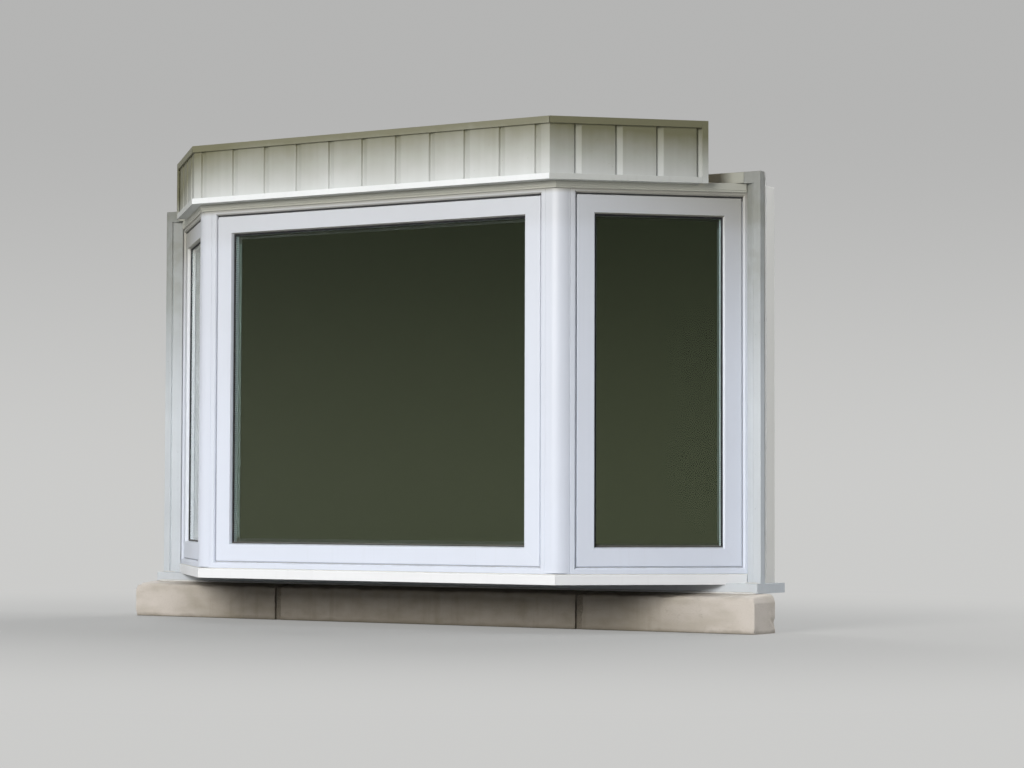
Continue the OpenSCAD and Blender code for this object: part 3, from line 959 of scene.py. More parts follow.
class Palette:
    """Every finished material, by what it is on."""

    def __init__(self, frieze_high: float) -> None:
        """Makes the materials.

        Args:
            frieze_high: height of the frieze's top edge, where painted shade and soiling start.
        """
        coat = (0.74, 0.73, 0.69)
        self.vinyl = Vinyl().make()
        # The fascia's vinyl is a lighter copy of the same vinyl: painted light.
        self.bright = Vinyl("vinyl_painted_light", (0.92, 0.93, 0.94)).make()
        # Cladding darkened by painted shade, with more painted shade and some soiling fading down.
        self.clad = PaintedSheet("white_cladding", (0.57, 0.605, 0.635), (0.13, 0.13, 0.10),
                                 (0.25, 0.26, 0.19), top=1.403, fade=0.75, strength=0.80).make()
        # The head trim's paint is darkened by painted shade.
        self.cream = PaintedSheet("cream_cladding_painted_shade", (0.46, 0.46, 0.40)).make()
        # Darker copy of the edging's paint, with painted shade and some soiling below the top edge.
        self.frieze = PaintedSheet("frieze_paint", (0.66, 0.68, 0.67), (0.145, 0.14, 0.08),
                                   (0.24, 0.26, 0.12), top=frieze_high - 10 * MM, fade=0.182,
                                   half_run=1.03, strength=0.97, ends=0.13, left=0.36,
                                   underside=0.35, flanks=0.10).make()
        # Lighter copy of the frieze's paint: painted light; painted shade on undersides and sides.
        self.edging = PaintedSheet("edging_paint_painted_light", (0.78, 0.80, 0.80), (0.20, 0.20, 0.14),
                                   underside=0.40, flanks=0.45).make()
        # The capping's dark colour is painted shade.
        self.capping = PaintedSheet("capping_paint_painted_shade", (0.29, 0.295, 0.25)).make()
        self.weather = Rubber("grey_seal", (0.50, 0.51, 0.54), dark_above=1.318).make()
        self.edge_seal = Rubber("edge_seal", (0.055, 0.073, 0.068), (0.10, 0.12, 0.11), 1.236,
                                0.276, (0.010, 0.011, 0.008)).make()
        self.caulk = Rubber("sealant", (0.70, 0.70, 0.68)).make()
        self.gasket = Rubber("black_gasket", (0.018, 0.018, 0.02)).make()
        # Painted shade darkens the board's faces that look down.
        self.board = Timber("board_paint", Grain.ALONG_X, paint=coat,
                            under=(0.10, 0.075, 0.065)).make()
        self.side_board = Timber("upright_board_paint", Grain.UPRIGHT, paint=coat).make()
        self.ply = Timber("plywood", Grain.ALONG_X, (0.62, 0.45, 0.26), (0.36, 0.22, 0.11),
                          plies=5).make()
        self.pine = Timber("softwood", Grain.UPRIGHT, (0.70, 0.52, 0.30), (0.44, 0.27, 0.12)).make()
        self.clear = Glazing("clear_glass", (0.93, 0.96, 0.945), (0.86, 0.90, 0.88)).make()
        # The inner pane's near-black tint is painted shade, for the dark room behind it.
        self.tinted = Glazing("inner_glass_painted_shade", (0.016, 0.022, 0.012)).make()
        self.spacer = SpacerBar().make()
        self.plastic = MouldedPlastic().make()
        self.stone = Limestone().make()
        self.mortar = Mortar().make()


@dataclass(frozen=True)
class Unit:
    """What each window unit has of its own, in metres and radians.

    Its head hangs lower than in the CAD model, by one height in the frame and one in the sash. The
    seal is the band that shows past the spacer.
    """

    turn: float
    frame_hang: float
    sash_hang: float
    seal: float


@dataclass
class Windows:
    """The three window units: frame, sash, glazing, seals, and the flank casements' cranks."""

    centre: Unit = Unit(0, 5 * MM, 7 * MM, 11 * MM)
    left: Unit = Unit(-BAY_ANGLE, 2.5 * MM, 4 * MM, 6 * MM)
    right: Unit = Unit(BAY_ANGLE, 2.5 * MM, 4 * MM, 6 * MM)
    sash_depth: float = 60 * MM
    pane_inset: float = 46 * MM
    pane_thick: float = 4 * MM
    pane_arris: float = 0.6 * MM
    outer_depth: float = 14.3 * MM
    inner_depth: float = 32.3 * MM
    crank_edge: float = 0.8 * MM

    def __post_init__(self) -> None:
        """Reads the heights and the three faces from the frame."""
        self.units = {"centre": self.centre, "left": self.left, "right": self.right}
        low, high = corners("sash_centre")
        frame_low, frame_high = corners("frame_centre")
        self.low, self.high = low[2], high[2]
        self.frame_low, self.frame_high = frame_low[2], frame_high[2]
        self.reveal = low[2] - frame_low[2]
        self.lip = frame_low[1] - low[1]
        self.planes = {name: self.find(name) for name in self.units}

    def find(self, name: str) -> tuple[Plane, float]:
        """Finds the outer plane of a sash, and the sash's width, from the box round it.

        The box of a bar turned by an angle is its width times the cosine plus its depth times the
        sine, so both come back from the box and the known depth.

        Args:
            name: which sash.

        Returns:
            The plane, with its origin in the middle of the sash, and the width.
        """
        low, high = corners("sash_" + name)
        depth, turn = self.sash_depth, self.units[name].turn
        x = (low[0] + high[0] + depth * math.sin(turn)) / 2
        y = (low[1] + high[1] - depth * math.cos(turn)) / 2
        width = (high[0] - low[0] - depth * abs(math.sin(turn))) / math.cos(turn)
        return Plane((x, y), turn), width

    def sash_opening(self, name: str) -> Opening:
        """The rectangle round a sash, whose head hangs a little below the frame's."""
        plane, width = self.planes[name]
        return Opening(plane, width, self.low, self.high - self.units[name].sash_hang)

    def frame_opening(self, name: str) -> Opening:
        """Gives the rectangle round a frame.

        Args:
            name: which unit.

        Returns:
            The rectangle, with the height that its head hangs lower by.
        """
        plane, width = self.planes[name]
        return Opening(plane, width + 2 * self.reveal, self.frame_low, self.frame_high,
                       self.units[name].frame_hang)

    def outlines(self, seal: float) -> dict[str, Array]:
        """Profiles of the bars that run round a unit, as (inset, depth) points in metres.

        The table gives each one's radius and points in millimetres.

        Args:
            seal: width of the edge seal, in metres.

        Returns:
            The rounded profiles by name.
        """
        lip, near, far = self.lip / MM, 63.5, 63.5 + seal / MM
        table = {
            "frame": (1.3, [(0, lip + 1.3), (1.2, lip), (14.5, lip), (18.8, lip + 4.4),
                            (18.8, 60.3), (34, 60.3), (34, 76), (0, 76)]),
            "sash": (1.0, [(0, 2.2), (2.2, 0), (54.5, 0), (58, 9), (58, 14), (44, 14), (44, 60),
                           (0, 60)]),
            "bead": (1.6, [(44.3, 36.6), (61.6, 36.6), (61.6, 53), (59, 55), (59, 60), (44.3, 60)]),
            "spacer": (0.6, [(52, 18.4), (63.4, 18.4), (63.4, 32.2), (52, 32.2)]),
            "seal": (0.2, [(near, 31.5), (far, 31.5), (far, 32.2), (near, 32.2)]),
            "gasket": (0.5, [(58.1, 11.2), (60.4, 11.4), (63.9, 14.2), (58.1, 14.2)]),
            "inner_gasket": (0.4, [(61.0, 36.5), (63.4, 36.5), (62.8, 38.6), (61.0, 39.4)]),
        }
        shapes = {name: profile(points, radius) for name, (radius, points) in table.items()}
        shapes["strip"] = profile([(18.9, 3), (21.9, 3), (21.9, 11), (18.9, 11)], 1.5, 5)
        return shapes

    def pane(self, name: str, near: float) -> Skin:
        """Cuts one pane of glass with ground edges.

        Args:
            name: which sash it lies in.
            near: depth of its outer face behind the sash's face.

        Returns:
            The surface in the row frame.
        """
        plane, width = self.planes[name]
        inset, arris, far = self.pane_inset, self.pane_arris, near + self.pane_thick
        half, high = width / 2 - inset, self.high - self.units[name].sash_hang - inset
        low = self.low + inset
        outline = rounded([(-half, near), (half, near), (half, far), (-half, far)], arris, 1)
        grid = raised(outline, np.array([low, low + arris, high - arris, high]))
        middle = np.array([0, (near + far) / 2])
        shrink = [1 - arris / half, 1 - arris / self.pane_thick]
        grid[[0, 3], :, :2] = middle + (outline - middle) * shrink
        return Skin(plane.place(grid))

    def build(self, palette: Palette) -> None:
        """Builds the three units.

        Args:
            palette: every finished material.
        """
        for name, unit in self.units.items():
            sash, casing = self.sash_opening(name), self.frame_opening(name)
            shapes = self.outlines(unit.seal)
            weld, fine = 0.5 * MM, 0.2 * MM
            for piece, opening, keys, sunk, finish, node, slot in (
                    ("framing_", casing, ["frame"], weld, palette.vinyl, "frame_", "vinyl"),
                    ("sash_bars_", sash, ["sash"], weld, palette.vinyl, "sash_", "vinyl"),
                    ("glazing_bead_", sash, ["bead"], fine, palette.vinyl, "bead_", "vinyl"),
                    ("spacer_bar_", sash, ["spacer"], fine / 2, palette.spacer, "spacer_", "spacer"),
                    ("edge_seal_", sash, ["seal"], 0, palette.edge_seal, None, "spacer"),
                    ("glazing_gaskets_", sash, ["gasket", "inner_gasket"], 0, palette.gasket, None,
                     None),
                    ("weatherstrip_", casing, ["strip"], 0, palette.weather, None, None)):
                skins = [opening.ring(shapes[key], sunk) for key in keys]
                add(piece + name, skins, finish, node and node + name)
            for word, glass, near in (("outer", palette.clear, self.outer_depth),
                                      ("inner", palette.tinted, self.inner_depth)):
                add(f"{word}_pane_{name}", [self.pane(name, near)], glass, "glass_" + name)
        for side in Side:
            dress("crank_" + side.word, palette.plastic, self.crank_edge)


@dataclass
class CornerPosts:
    """The two posts between the units, with their rounded outer covers."""

    windows: Windows
    turn: float = math.radians(62)
    joint: float = 0.3 * MM
    wall: float = 3 * MM
    post_edge: float = 1 * MM
    arc_points: int = 33
    rows: int = 24

    def cover(self) -> Skin:
        """Bends the right cover from the centre frame's edge to the flank frame's.

        From the centre's edge it runs straight on, and then along an arc that turns by an angle and
        ends at the flank's edge. The arc's radius is the rise between the edges over one minus the
        cosine of the angle, and its run is the radius times the sine.

        Returns:
            The right cover's surface.
        """
        centre, flank = (self.windows.frame_opening(name) for name in ("centre", "right"))
        lip = self.windows.lip
        a = np.array([centre.width / 2 + self.joint, centre.plane.origin[1] + lip])
        b = flank.plane.place(np.array([-flank.width / 2 - self.joint, lip, 0]))[:2]
        radius = (b[1] - a[1]) / (1 - math.cos(self.turn))
        middle = np.array([b[0] - radius * math.sin(self.turn), a[1] + radius])
        angle = np.linspace(0, self.turn, self.arc_points)[:, None]
        arc = middle + radius * np.hstack([np.sin(angle), -np.cos(angle)])
        chord = (b - a) / np.linalg.norm(b - a)
        inward = np.array([-chord[1], chord[0]]) * self.wall
        low, high = corners("post_cover_right")
        outline = np.vstack([a, a + [self.wall, 0], arc, b + inward, a + inward])
        return Plane((0, 0), 0).upright(outline, low[2], high[2], self.rows)

    def build(self, palette: Palette) -> None:
        """Builds both covers and dresses the posts behind them.

        Args:
            palette: every finished material.
        """
        for side in Side:
            add("rounded_cover_" + side.word, [self.cover().on(side)], palette.vinyl,
                "post_cover_" + side.word)
            dress("post_" + side.word, palette.vinyl, self.post_edge)


@dataclass
class Fascia:
    """The board that closes the bottom of the frames, and the trim that closes their top."""

    windows: Windows
    thick: float = 6 * MM
    bite: float = 4 * MM
    gap: float = 2.4 * MM
    drop: float = 4.5 * MM

    def runs(self, outline: Array) -> dict[str, Skin]:
        """Carries a (depth, height) outline along the three faces, mitred at the corners.

        Args:
            outline: the profile, with depth measured from the sash planes.

        Returns:
            One surface for each face.
        """
        centre, right = (self.windows.planes[name][0] for name in ("centre", "right"))
        corner = self.corner(centre, right)
        near = -np.linalg.norm(np.array(right.origin) - corner) + SEAT
        strip = corners("reveal_strip_right")[0][0] - SEAT
        far = (strip - right.origin[0]) / math.cos(BAY_ANGLE)
        end = corner[0] - SEAT
        front = centre.run(outline, -end, end, (HALF_TAN, -HALF_TAN))
        flank = right.run(outline, near, far, (HALF_TAN, math.tan(BAY_ANGLE)))
        return {"front": front, "right": flank, "left": flank.on(Side.LEFT)}

    @staticmethod
    def corner(centre: Plane, right: Plane) -> Array:
        """Where the sash planes of the centre and the right flank cross, in plan.

        The flank's plane is followed back from the middle of its sash until it reaches the
        centre's plane.
        """
        way = (centre.origin[1] - right.origin[1]) / math.sin(BAY_ANGLE)
        return np.array([right.origin[0] + way * math.cos(BAY_ANGLE), centre.origin[1]])

    def build(self, palette: Palette) -> None:
        """Builds the fascia and the head trim, from profiles in millimetres.

        Args:
            palette: every finished material.
        """
        front, bite = self.windows.lip - self.thick, (self.thick + self.bite) / MM
        low = corners("sill_fascia_front")[0][2]
        top = (self.windows.frame_low - self.gap - low) / MM
        board = profile([(bite, 0), (bite, top), (1.6, top), (0, top - 1.4), (0, 0)], 1.0)
        for name, skin in self.runs(board + [front, low]).items():
            add("sill_board_" + name, [skin], palette.bright, "sill_fascia_" + name)
        low, high = (corner[2] for corner in corners("head_trim"))
        foot, back = low - self.drop, self.thick / MM
        top = (high - foot) / MM
        cove = profile([(back, 0), (back, top), (0, top), (0, 7), (2, 6), (2, 4.6), (1, 4), (1, 1),
                        (2, 0)], 0.8)
        add("head_mould", list(self.runs(cove + [front, foot]).values()), palette.cream,
            "head_trim")


@dataclass
class Frieze:
    """The ribbed sheet-metal frieze: grooved boards held between folded edge trims."""

    pitch: float = 128 * MM
    first_front: float = -13.7 * MM
    first_flank: float = 78 * MM
    wall: float = 4.5 * MM
    floor: float = 2 * MM
    width: float = 24 * MM
    depth: float = 5.4 * MM
    sheet: float = 1.8 * MM
    fold: float = 1.4 * MM
    cell: float = 14 * MM
    rows: int = 25
    edge: float = 5 * MM
    face: float = 7 * MM
    top_width: float = 21 * MM
    bottom_width: float = 18 * MM
    end_width: float = 24 * MM
    leg: float = 1.5 * MM
    joint: float = 1.5 * MM
    trim_fold: float = 0.6 * MM
    stud_edge: float = 1 * MM
    wave: float = 0.35 * MM
    wave_size: float = 0.11
    calm: float = 30 * MM
    noise: Noise = Noise(11)

    def __post_init__(self) -> None:
        """Reads the frieze's place from the frame."""
        low, high = corners("frieze_bottom_trim")
        self.front, self.low = low[1], low[2]
        self.high = corners("frieze_top_trim")[1][2]
        board_low, board_high = corners("frieze_boards_front")
        self.board_low, self.board_high = board_low[2], board_high[2]
        self.corner = board_high[0] + self.edge * HALF_TAN + SEAT / 2
        self.length = -self.front / math.sin(BAY_ANGLE)
        self.centre = Plane((0, self.front), 0)
        self.flank = Plane((self.corner, self.front), BAY_ANGLE)

    def boards(self, plane: Plane, first: float, start: float, end: float, shifts: Span,
               steep_end: bool = False) -> Skin:
        """Folds a sheet into boards with grooves between them, and lets it wave a little.

        A groove goes from the face down its steep side, along its narrow floor and back up a long
        slope. The sheet's back is the same line one thickness further in. The wave dies away at the
        trims.

        Args:
            plane: the face of the frieze.
            first: station of one groove.
            start: station of the sheet's first end.
            end: station of its last end.
            shifts: how far the back's two ends move along, which cuts the mitres.
            steep_end: whether a groove's steep side is its far one.

        Returns:
            The surface in the row frame.
        """
        count = int(2 / self.pitch)
        places = first + self.pitch * np.arange(-count, count)
        places = places[(places > start + self.sheet) & (places + self.width < end)]
        shape = np.array([[0, 0], [self.wall, self.depth], [self.wall + self.floor, self.depth],
                          [self.width, 0]])
        if steep_end:
            shape = [self.width, 0] + shape[::-1] * [-1, 1]
        inner = (places[:, None, None] * np.array([1, 0]) + shape).reshape(-1, 2)
        front = np.vstack([[start, 0], inner, [end, 0]])
        back = np.vstack([[start + shifts[0], self.sheet], inner + [0, self.sheet],
                          [end + shifts[1], self.sheet]])
        outline = divided(rounded(np.vstack([front, back[::-1]]), self.fold), self.cell)
        grid = raised(outline, np.linspace(self.board_low, self.board_high, self.rows))
        height = grid[..., 2]
        away = np.minimum(height - self.board_low, self.board_high - height) / self.calm
        flat = grid * np.array([1, 0, 0.7]) + np.array([plane.turn * 3, 0, 0])
        wave = self.wave * (1 + self.noise.layers(flat, self.wave_size, 2))
        grid[..., 1] += self.face + wave * np.clip(away, 0, 1)
        return Skin(plane.place(grid))

    def around(self, outline: Array, ends: float) -> Skin:
        """Carries a (depth, height) outline round all three faces without a joint.

        At a corner a point at depth d stands d times the tangent of half the bay's angle nearer
        to the middle than the corner.

        Args:
            outline: the profile.
            ends: station of the two ends along the flanks.

        Returns:
            The surface in the row frame.
        """
        depth, height = outline[:, 0], outline[:, 1]
        bend = np.stack([self.corner - depth * HALF_TAN, self.front + depth, height], axis=-1)
        end = self.flank.place(np.stack([np.full_like(depth, ends), depth, height], axis=-1))
        mirror = np.array([-1, 1, 1])
        return Skin(np.array([end * mirror, bend * mirror, bend, end]))

    def build(self, palette: Palette) -> None:
        """Builds the boards and trims, and dresses the timber inside.

        Args:
            palette: every finished material.
        """
        mitre = self.face * HALF_TAN + SEAT / 2
        half, inset = self.corner - mitre, self.sheet * HALF_TAN
        front = self.boards(self.centre, self.first_front, -half, half, (inset, -inset))
        skins = {"front": front}
        for side in (Side.RIGHT, Side.LEFT):
            skins[side.word] = self.boards(self.flank, self.first_flank, mitre,
                                           self.length - 2 * self.edge, (inset, 0),
                                           steep_end=side is Side.LEFT).on(side)
        for word, skin in skins.items():
            add("ribbed_boards_" + word, [skin], palette.frieze, "frieze_boards_" + word)
        self.build_trims(palette)
        for node in ("frieze_bottom_plate", "frieze_top_plate"):
            dress(node, palette.ply)
        dress("frieze_studs", palette.pine, self.stud_edge)

    def build_trims(self, palette: Palette) -> None:
        """Builds the folded trims along the frieze's edges and ends.

        Args:
            palette: every finished material.
        """
        e, leg, low, high = self.face - SEAT, self.leg, self.low, self.high
        deep, gap = self.edge + self.depth + self.sheet, self.joint / 2
        far = self.length - self.end_width - SEAT
        foot = high - self.top_width
        top = rounded([(0, foot), (0, high), (deep, high), (deep, high - leg), (e, high - leg),
                       (e, foot)], self.trim_fold)
        end = self.corner - gap
        front = self.centre.run(top, -end, end, (HALF_TAN, -HALF_TAN))
        side = self.flank.run(top, gap, far, (HALF_TAN, 0))
        add("frieze_top_edging", [front, *side.twice()], palette.frieze, "frieze_top_trim")
        under = corners("head_trim")[0][1] - self.front - SEAT
        head = low + self.bottom_width
        bottom = rounded([(0, low), (0, head), (e, head), (e, low + leg), (under, low + leg),
                          (under, low)], self.trim_fold)
        add("frieze_bottom_edging", [self.around(bottom, far)], palette.edging,
            "frieze_bottom_trim")
        start, stop = self.length - self.end_width, self.length - self.edge
        strip = rounded([(start, 0), (stop, 0), (stop, e), (start, e)], self.trim_fold)
        for side in Side:
            skin = self.flank.upright(strip, low, high, 8).on(side)
            add("frieze_end_strip_" + side.word, [skin], palette.frieze,
                "frieze_end_" + side.word)


@dataclass
class Reveal:
    """What closes the opening: clad strips down its sides, the capping, the filler and the boards."""

    band: float = 24 * MM
    narrower: float = 4 * MM
    step: float = 4.5 * MM
    splay: float = 22 * MM
    slope: float = 5.5 * MM
    fold: float = 1.6 * MM
    cell: float = 12 * MM
    rows: int = 58
    wave: float = 0.5 * MM
    wave_size: float = 0.09
    side_edge: float = 1.2 * MM
    clad_edge: float = 1.5 * MM
    board_edge: float = 2 * MM
    noise: Noise = Noise(23)

    def strip(self) -> Skin:
        """Folds the right strip: a splayed inner band, a groove, and a raised outer band.

        Above the frames, where the capping ends against it, the inner band is level with the outer.
        Only the faces near the front wave, by noise.

        Returns:
            The right strip's surface.
        """
        low, high = corners("reveal_strip_right")
        face, back = low[1], high[1] - SEAT
        edge = high[0] - self.narrower
        fold = edge - self.band
        outline = [(low[0], face + self.splay), (fold - 5 * MM, face + self.step),
                   (fold - 2 * MM, face + 1.5 * self.step), (fold, face), (edge, face),
                   (edge, high[1]), (low[0] + self.slope, back), (low[0], back - self.slope)]
        head = corners("head_trim")[1][2]
        heights = np.append(np.linspace(low[2], high[2], self.rows), [head, head + SEAT])
        grid = raised(divided(rounded(outline, self.fold), self.cell), np.sort(heights))
        depth = grid[..., 1]
        flush = (grid[..., 2] > head) & (grid[..., 0] < fold) & (depth < face + self.splay + 2 * MM)
        grid[..., 1] = depth = np.where(flush, face + 0.4 * MM, depth)
        near = np.clip((face + 12 * MM - depth) / (8 * MM), 0, 1)
        grid[..., 1] += self.wave * (1 + self.noise.layers(grid, self.wave_size, 2)) * near
        return Skin(grid)

    def build(self, palette: Palette) -> None:
        """Builds the strips and dresses the boards.

        Args:
            palette: every finished material.
        """
        for side in Side:
            add("folded_strip_" + side.word, [self.strip().on(side)], palette.clad,
                "reveal_strip_" + side.word)
            dress("jamb_board_" + side.word, palette.side_board, self.side_edge)
        dress("head_capping", palette.capping, self.clad_edge)
        dress("sill_filler", palette.clad, self.clad_edge)
        for node in ("seat_board", "head_board"):
            dress(node, palette.board, self.board_edge)


@dataclass
class StoneSill:
    """Three weathered stones and the mortar between them."""

    arris: float = 6 * MM
    worn: float = 26 * MM
    wash: float = 8 * MM
    cell: float = 6 * MM
    rough: float = 1.3 * MM
    chip: float = 4.5 * MM
    chip_reach: float = 12 * MM
    mortar_width: float = 24 * MM
    mortar_rough: float = 2.2 * MM
    mortar_lap: float = 1 * MM
    mortar_drop: float = 1.5 * MM
    fine_size: float = 0.045
    broad_size: float = 0.16
    chip_size: float = 0.035
    rings: int = 9
    smooth: float = 60
    noise: Noise = Noise(5)
    chips: Noise = Noise(17)

    def __post_init__(self) -> None:
        """Reads the sill's place from the frame."""
        self.low, self.high = corners("stone_sill")
        self.joint_out = corners("mortar_joints")[1][0]
        self.filler = corners("sill_filler")[0][1]

    def outline(self, inset: float = 0.0, drop: float = 0.0) -> Array:
        """Gives the stone's section as (depth, height) points, with its worn front edge.

        Args:
            inset: how far the front lies back.
            drop: how far the top lies lower.

        Returns:
            Evenly spaced points round the section.
        """
        front, back = self.low[1] + inset, self.high[1]
        top = self.high[2] - drop
        shape = [(front, self.low[2]), (front, top - self.wash - self.arris),
                 (front + self.arris, top - self.wash), (self.filler, top), (back, top),
                 (back, self.low[2])]
        return divided(rounded(shape, 4 * MM, 2), self.cell)

    def block(self, start: float, end: float, outline: Array, rough: float, chip: float,
              worn: float) -> Skin:
        """Carries a section along X, closes both ends, and wears the surface down.

        Rings of the section, smaller and smaller, close each end. Every point moves only inwards:
        by fine roughness everywhere, and by chips near the edges of the ends, where a coarse noise
        is above a limit. The outer upper corner is cut back by the circle that rounds it.

        Args:
            start: X of the first end.
            end: X of the last end.
            outline: the section.
            rough: depth of the fine roughness.
            chip: depth of the chips.
            worn: radius of the rounded upper corner at the far end, or 0.

        Returns:
            The surface in the row frame.
        """
        middle, rings = outline.mean(axis=0), self.rings
        count = max(3, int((end - start) / self.cell))
        shrink = np.linspace(0.08, 1, rings + 1)
        stations = np.concatenate([np.full(rings, start), np.linspace(start, end, count),
                                   np.full(rings, end)])
        scales = np.concatenate([shrink[:-1], np.ones(count), shrink[-2::-1]])
        grid = np.empty((len(stations), len(outline), 3))
        grid[..., 0] = stations[:, None]
        grid[..., 1:] = middle + (outline - middle) * scales[:, None, None]
        if worn:
            reach = np.clip((grid[..., 0] - (end - worn)) / worn, 0, 1)
            cap = self.high[2] - worn + worn * np.sqrt(np.clip(1 - reach ** 2, 0, 1))
            grid[..., 2] = np.minimum(grid[..., 2], cap)
        number = np.arange(len(stations))
        normal = np.zeros_like(grid)
        normal[..., 0] = ((number >= rings + count - 1) * 1.0 - (number <= rings))[:, None]
        normal[..., 1:] = outward(outline) * np.clip(scales * 4 - 3, 0, 1)[:, None, None]
        normal /= np.maximum(np.linalg.norm(normal, axis=-1, keepdims=True), 1e-9)
        fine = 0.5 + 0.5 * self.noise.layers(grid, self.fine_size, 4)
        broad = 0.5 + 0.5 * self.noise.layers(grid + 3.1, self.broad_size, 2)
        from_end = np.minimum(grid[..., 0] - start, end - grid[..., 0])
        from_top = self.high[2] - self.wash - grid[..., 2]
        near_end, near_top = (np.clip(1 - away / self.chip_reach, 0, 1)
                              for away in (from_end, from_top))
        edges = np.maximum(near_end, near_top * (grid[..., 1] < self.filler))
        bites = np.clip(self.chips.layers(grid, self.chip_size, 3) * 2.4 - 0.25, 0, 1)
        depth = rough * (0.6 * fine + 0.9 * broad) + chip * bites * edges
        moved = grid - normal * depth[..., None]
        moved[..., 2] = np.where(grid[..., 2] < self.low[2] + 0.1 * MM, self.low[2], moved[..., 2])
        return Skin(moved)

    def build(self, palette: Palette) -> None:
        """Builds the stones and the mortar joints.

        Args:
            palette: every finished material.
        """
        section = self.outline()
        middle = self.joint_out - self.mortar_width
        inner = self.block(-middle, middle, section, self.rough, self.chip, 0)
        outer = self.block(self.joint_out, self.high[0], section, self.rough, self.chip, self.worn)
        add("sill_stones", [inner, *outer.twice()], palette.stone, "stone_sill",
            self.smooth)
        front, lap = corners("mortar_joints")[0][1], self.mortar_lap
        filling = self.outline(front - self.low[1] + lap, self.mortar_drop)
        joint = self.block(middle - lap, self.joint_out + lap, filling, self.mortar_rough, 0, 0)
        add("mortar_filling", joint.twice(), palette.mortar, "mortar_joints",
            self.smooth)


@dataclass
class Sealant:
    """Hand-run beads of sealant round the clad parts."""

    radius: float = 3.2 * MM
    step: float = 7 * MM
    ragged: float = 30 * MM
    inset: float = 4 * MM
    end_gap: float = 6 * MM
    sides: int = 10
    smooth: float = 60
    noise: Noise = Noise(41)

    def bead(self, start: Array, way: Array, radius: float) -> Skin:
        """Runs a ragged bead along a straight line.

        The section is a circle, whose radius follows the noise along the line.

        Args:
            start: first point of the line.
            way: from there to its last point.
            radius: mean radius.

        Returns:
            The surface in the row frame.
        """
        length = np.linalg.norm(way)
        way = way / length
        side = np.cross(way, [0.31, 0.67, 0.67])
        side /= np.linalg.norm(side)
        rows = max(8, int(length / self.step))
        angle = np.linspace(0, 2 * math.pi, self.sides + 1)[:-1, None]
        circle = np.cos(angle) * side + np.sin(angle) * np.cross(way, side)
        line = start + way * np.linspace(0, length, rows)[:, None]
        size = radius * (0.8 + 0.35 * self.noise.layers(line, self.ragged, 3))
        taper = np.clip(np.minimum(np.arange(rows), np.arange(rows)[::-1]) / 2, 0.3, 1)
        return Skin(line[:, None] + circle * (size * taper)[:, None, None])

    def build(self, palette: Palette) -> None:
        """Seals the strips to the filler, and the filler to the stones.

        Args:
            palette: every finished material.
        """
        low, high = corners("reveal_strip_right")
        filler = corners("sill_filler")[0]
        r, inset, gap = self.radius, self.inset, self.end_gap
        foot = np.array([low[0] + inset, low[1] - 0.2 * r, low[2] + 0.6 * r])
        edge = np.array([high[0] - 0.5 * r, high[1] + 0.3 * r, low[2] + gap])
        base = np.array([gap - high[0], filler[1] - 0.2 * r, filler[2] + 0.5 * r])
        across = self.bead(foot, np.array([high[0] - low[0] - 2 * inset, 0, 0]), r)
        upright = self.bead(edge, np.array([0, 0, high[2] - low[2] - 2 * gap]), r)
        long = self.bead(base, np.array([-2 * base[0], 0, 0]), r * 1.3)
        add("sealant_beads", [*across.twice(), *upright.twice(), long], palette.caulk,
            smooth=self.smooth)


@dataclass(frozen=True)
class Lamp:
    """A square lamp that faces the middle of the window, and may show through glass."""

    name: str
    place: Triple
    size: float
    power: float
    colour: Triple = (1, 1, 1)
    through_glass: bool = False
    target: Triple = (0, -0.1, 0.8)

    def hang(self) -> None:
        """Adds the lamp to the scene."""
        data = bpy.data.lights.new(self.name, "AREA")
        data.size, data.energy, data.color = self.size, self.power, self.colour
        lamp = bpy.data.objects.new(self.name, data)
        lamp.location = self.place
        lamp.visible_transmission = self.through_glass
        way = Vector(self.target) - Vector(self.place)
        lamp.rotation_euler = way.to_track_quat("-Z", "Y").to_euler()
        bpy.context.scene.collection.objects.link(lamp)


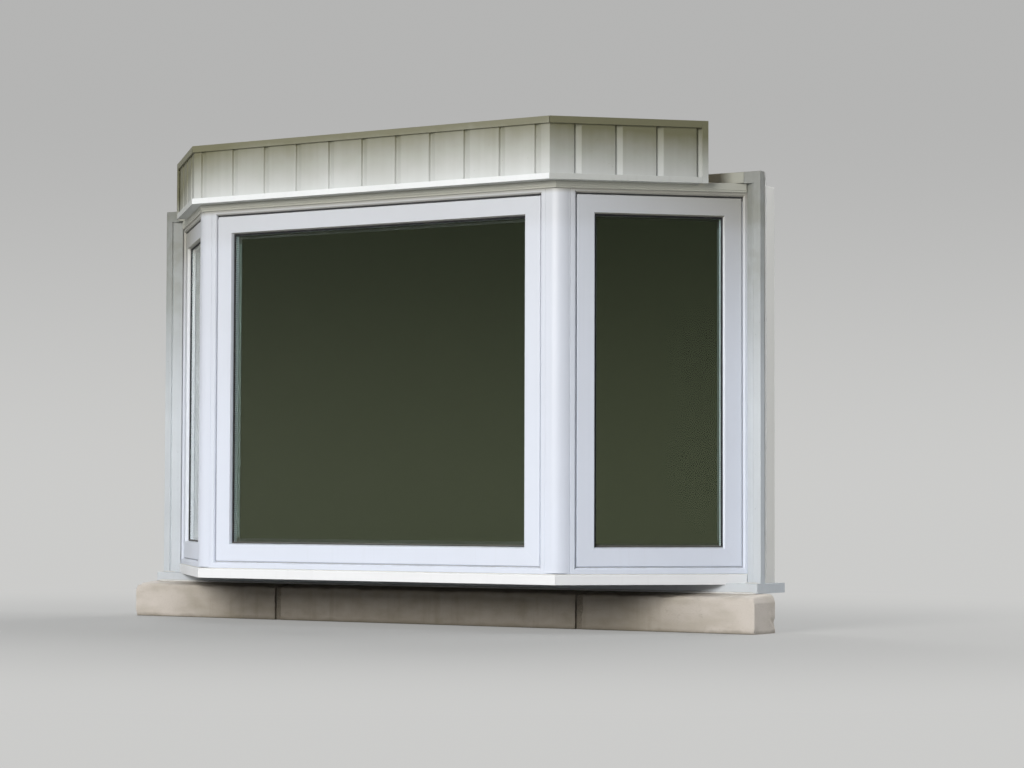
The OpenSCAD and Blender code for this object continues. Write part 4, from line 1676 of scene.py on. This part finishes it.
@dataclass(frozen=True)
class Studio:
    """A pale floor, soft lamps and the camera of the photograph.

    Angles are in degrees: the camera's turn round Z, its tilt and its roll.
    """

    backdrop: Triple = (0.60, 0.60, 0.59)
    high_backdrop: Triple = (0.46, 0.46, 0.455)
    mirrored: Triple = (0.20, 0.21, 0.20)
    ground: Triple = (0.42, 0.42, 0.41)
    soft: Triple = (0.84, 0.94, 1.12)
    softness: float = 0.16
    warm: Triple = (1.0, 0.985, 0.965)
    stand: Triple = (4.933, -7.279, 0.387)
    aim: Triple = (32.31, 92.526, 0.177)
    lens: float = 95.75
    sensor: float = 36
    reach: float = 60.0
    rings: int = 12
    spokes: int = 96

    def camera(self) -> None:
        """Stands the camera where the photograph was taken, with its lens."""
        data = bpy.data.cameras.new("camera")
        data.lens, data.sensor_width = self.lens, self.sensor
        camera = bpy.data.objects.new("camera", data)
        turn, tilt, roll = (Matrix.Rotation(math.radians(angle), 4, axis)
                            for angle, axis in zip(self.aim, "ZXZ"))
        camera.matrix_world = Matrix.Translation(self.stand) @ turn @ tilt @ roll
        bpy.context.scene.collection.objects.link(camera)
        bpy.context.scene.camera = camera

    def world(self) -> None:
        """Lights the scene softly, and shows the backdrop to the camera, mirrors and glass."""
        tree = Tree("studio", world=True)
        up = tree.split(tree.node("ShaderNodeTexCoord", {}, output="Generated"))[2]
        straight = tree.blend(up.rise(0, 0.15), self.backdrop, self.high_backdrop)
        mirrored = tree.blend(up.rise(-0.01, 0.13), self.backdrop, self.mirrored)
        shown = tree.node("ShaderNodeBackground",
                          {"Color": tree.blend(tree.ray("Glossy"), straight, mirrored)})
        soft = tree.node("ShaderNodeBackground", {"Color": self.soft, "Strength": self.softness})
        tree.show(tree.node("ShaderNodeMixShader", {0: tree.seen(), 1: soft, 2: shown}))
        bpy.context.scene.world = tree.owner

    def floor(self) -> None:
        """Lays a round floor that fades into the backdrop, so that no horizon shows.

        Its rings stand at the floor's reach times the square of their share of it.
        """
        radius = self.reach * np.linspace(0, 1, self.rings)[1:, None] ** 2
        angle = np.linspace(0, 2 * math.pi, self.spokes + 1)[:-1]
        x, y = radius * np.cos(angle), radius * np.sin(angle)
        points = np.stack([x, y, np.zeros_like(x)], axis=-1).reshape(-1, 3)
        index = np.arange(len(points)).reshape(x.shape)
        following = np.roll(index, -1, axis=1)
        quads = np.stack([index[:-1], index[1:], following[1:], following[:-1]], axis=-1)
        mesh = bpy.data.meshes.new("floor")
        mesh.from_pydata(points, [], quads.reshape(-1, 4).tolist() + [index[0].tolist()])
        floor = bpy.data.objects.new("floor", mesh)
        bpy.context.scene.collection.objects.link(floor)
        tree = Tree("pale_floor")
        away = tree.node("ShaderNodeVectorMath", {0: tree.place}, output="Value",
                         operation="LENGTH")
        fade = (away.rise(1.0, 3.8) * 0.6 + 0.4) * tree.seen()
        matt = tree.node("ShaderNodeBsdfDiffuse", {"Color": self.ground})
        glow = tree.node("ShaderNodeEmission", {"Color": self.backdrop})
        tree.show(tree.node("ShaderNodeMixShader", {0: fade, 1: matt, 2: glow}))
        mesh.materials.append(tree.owner)

    def build(self) -> None:
        """Sets up the whole studio."""
        self.camera()
        self.world()
        self.floor()
        for lamp in (Lamp("key", (0.1, -8.4, 3.7), 4.0, 712, self.warm, through_glass=True),
                     Lamp("right_side", (5.2, 4.2, 4.4), 3.0, 260),
                     Lamp("left_side", (-5.2, 4.2, 4.4), 3.0, 260),
                     Lamp("room_side", (0.8, 6.5, 4.4), 3.4, 250, self.warm)):
            lamp.hang()
        bpy.context.scene.view_settings.view_transform = "Standard"


def main() -> None:
    """Builds the studio and the window."""
    logging.basicConfig(level=logging.INFO, format="%(message)s")
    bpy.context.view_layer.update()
    Studio().build()
    frieze, windows = Frieze(), Windows()
    palette = Palette(frieze.high)
    for part in (windows, CornerPosts(windows), Fascia(windows), frieze, Reveal(), StoneSill(),
                 Sealant()):
        part.build(palette)


if __name__ == "__main__":
    main()
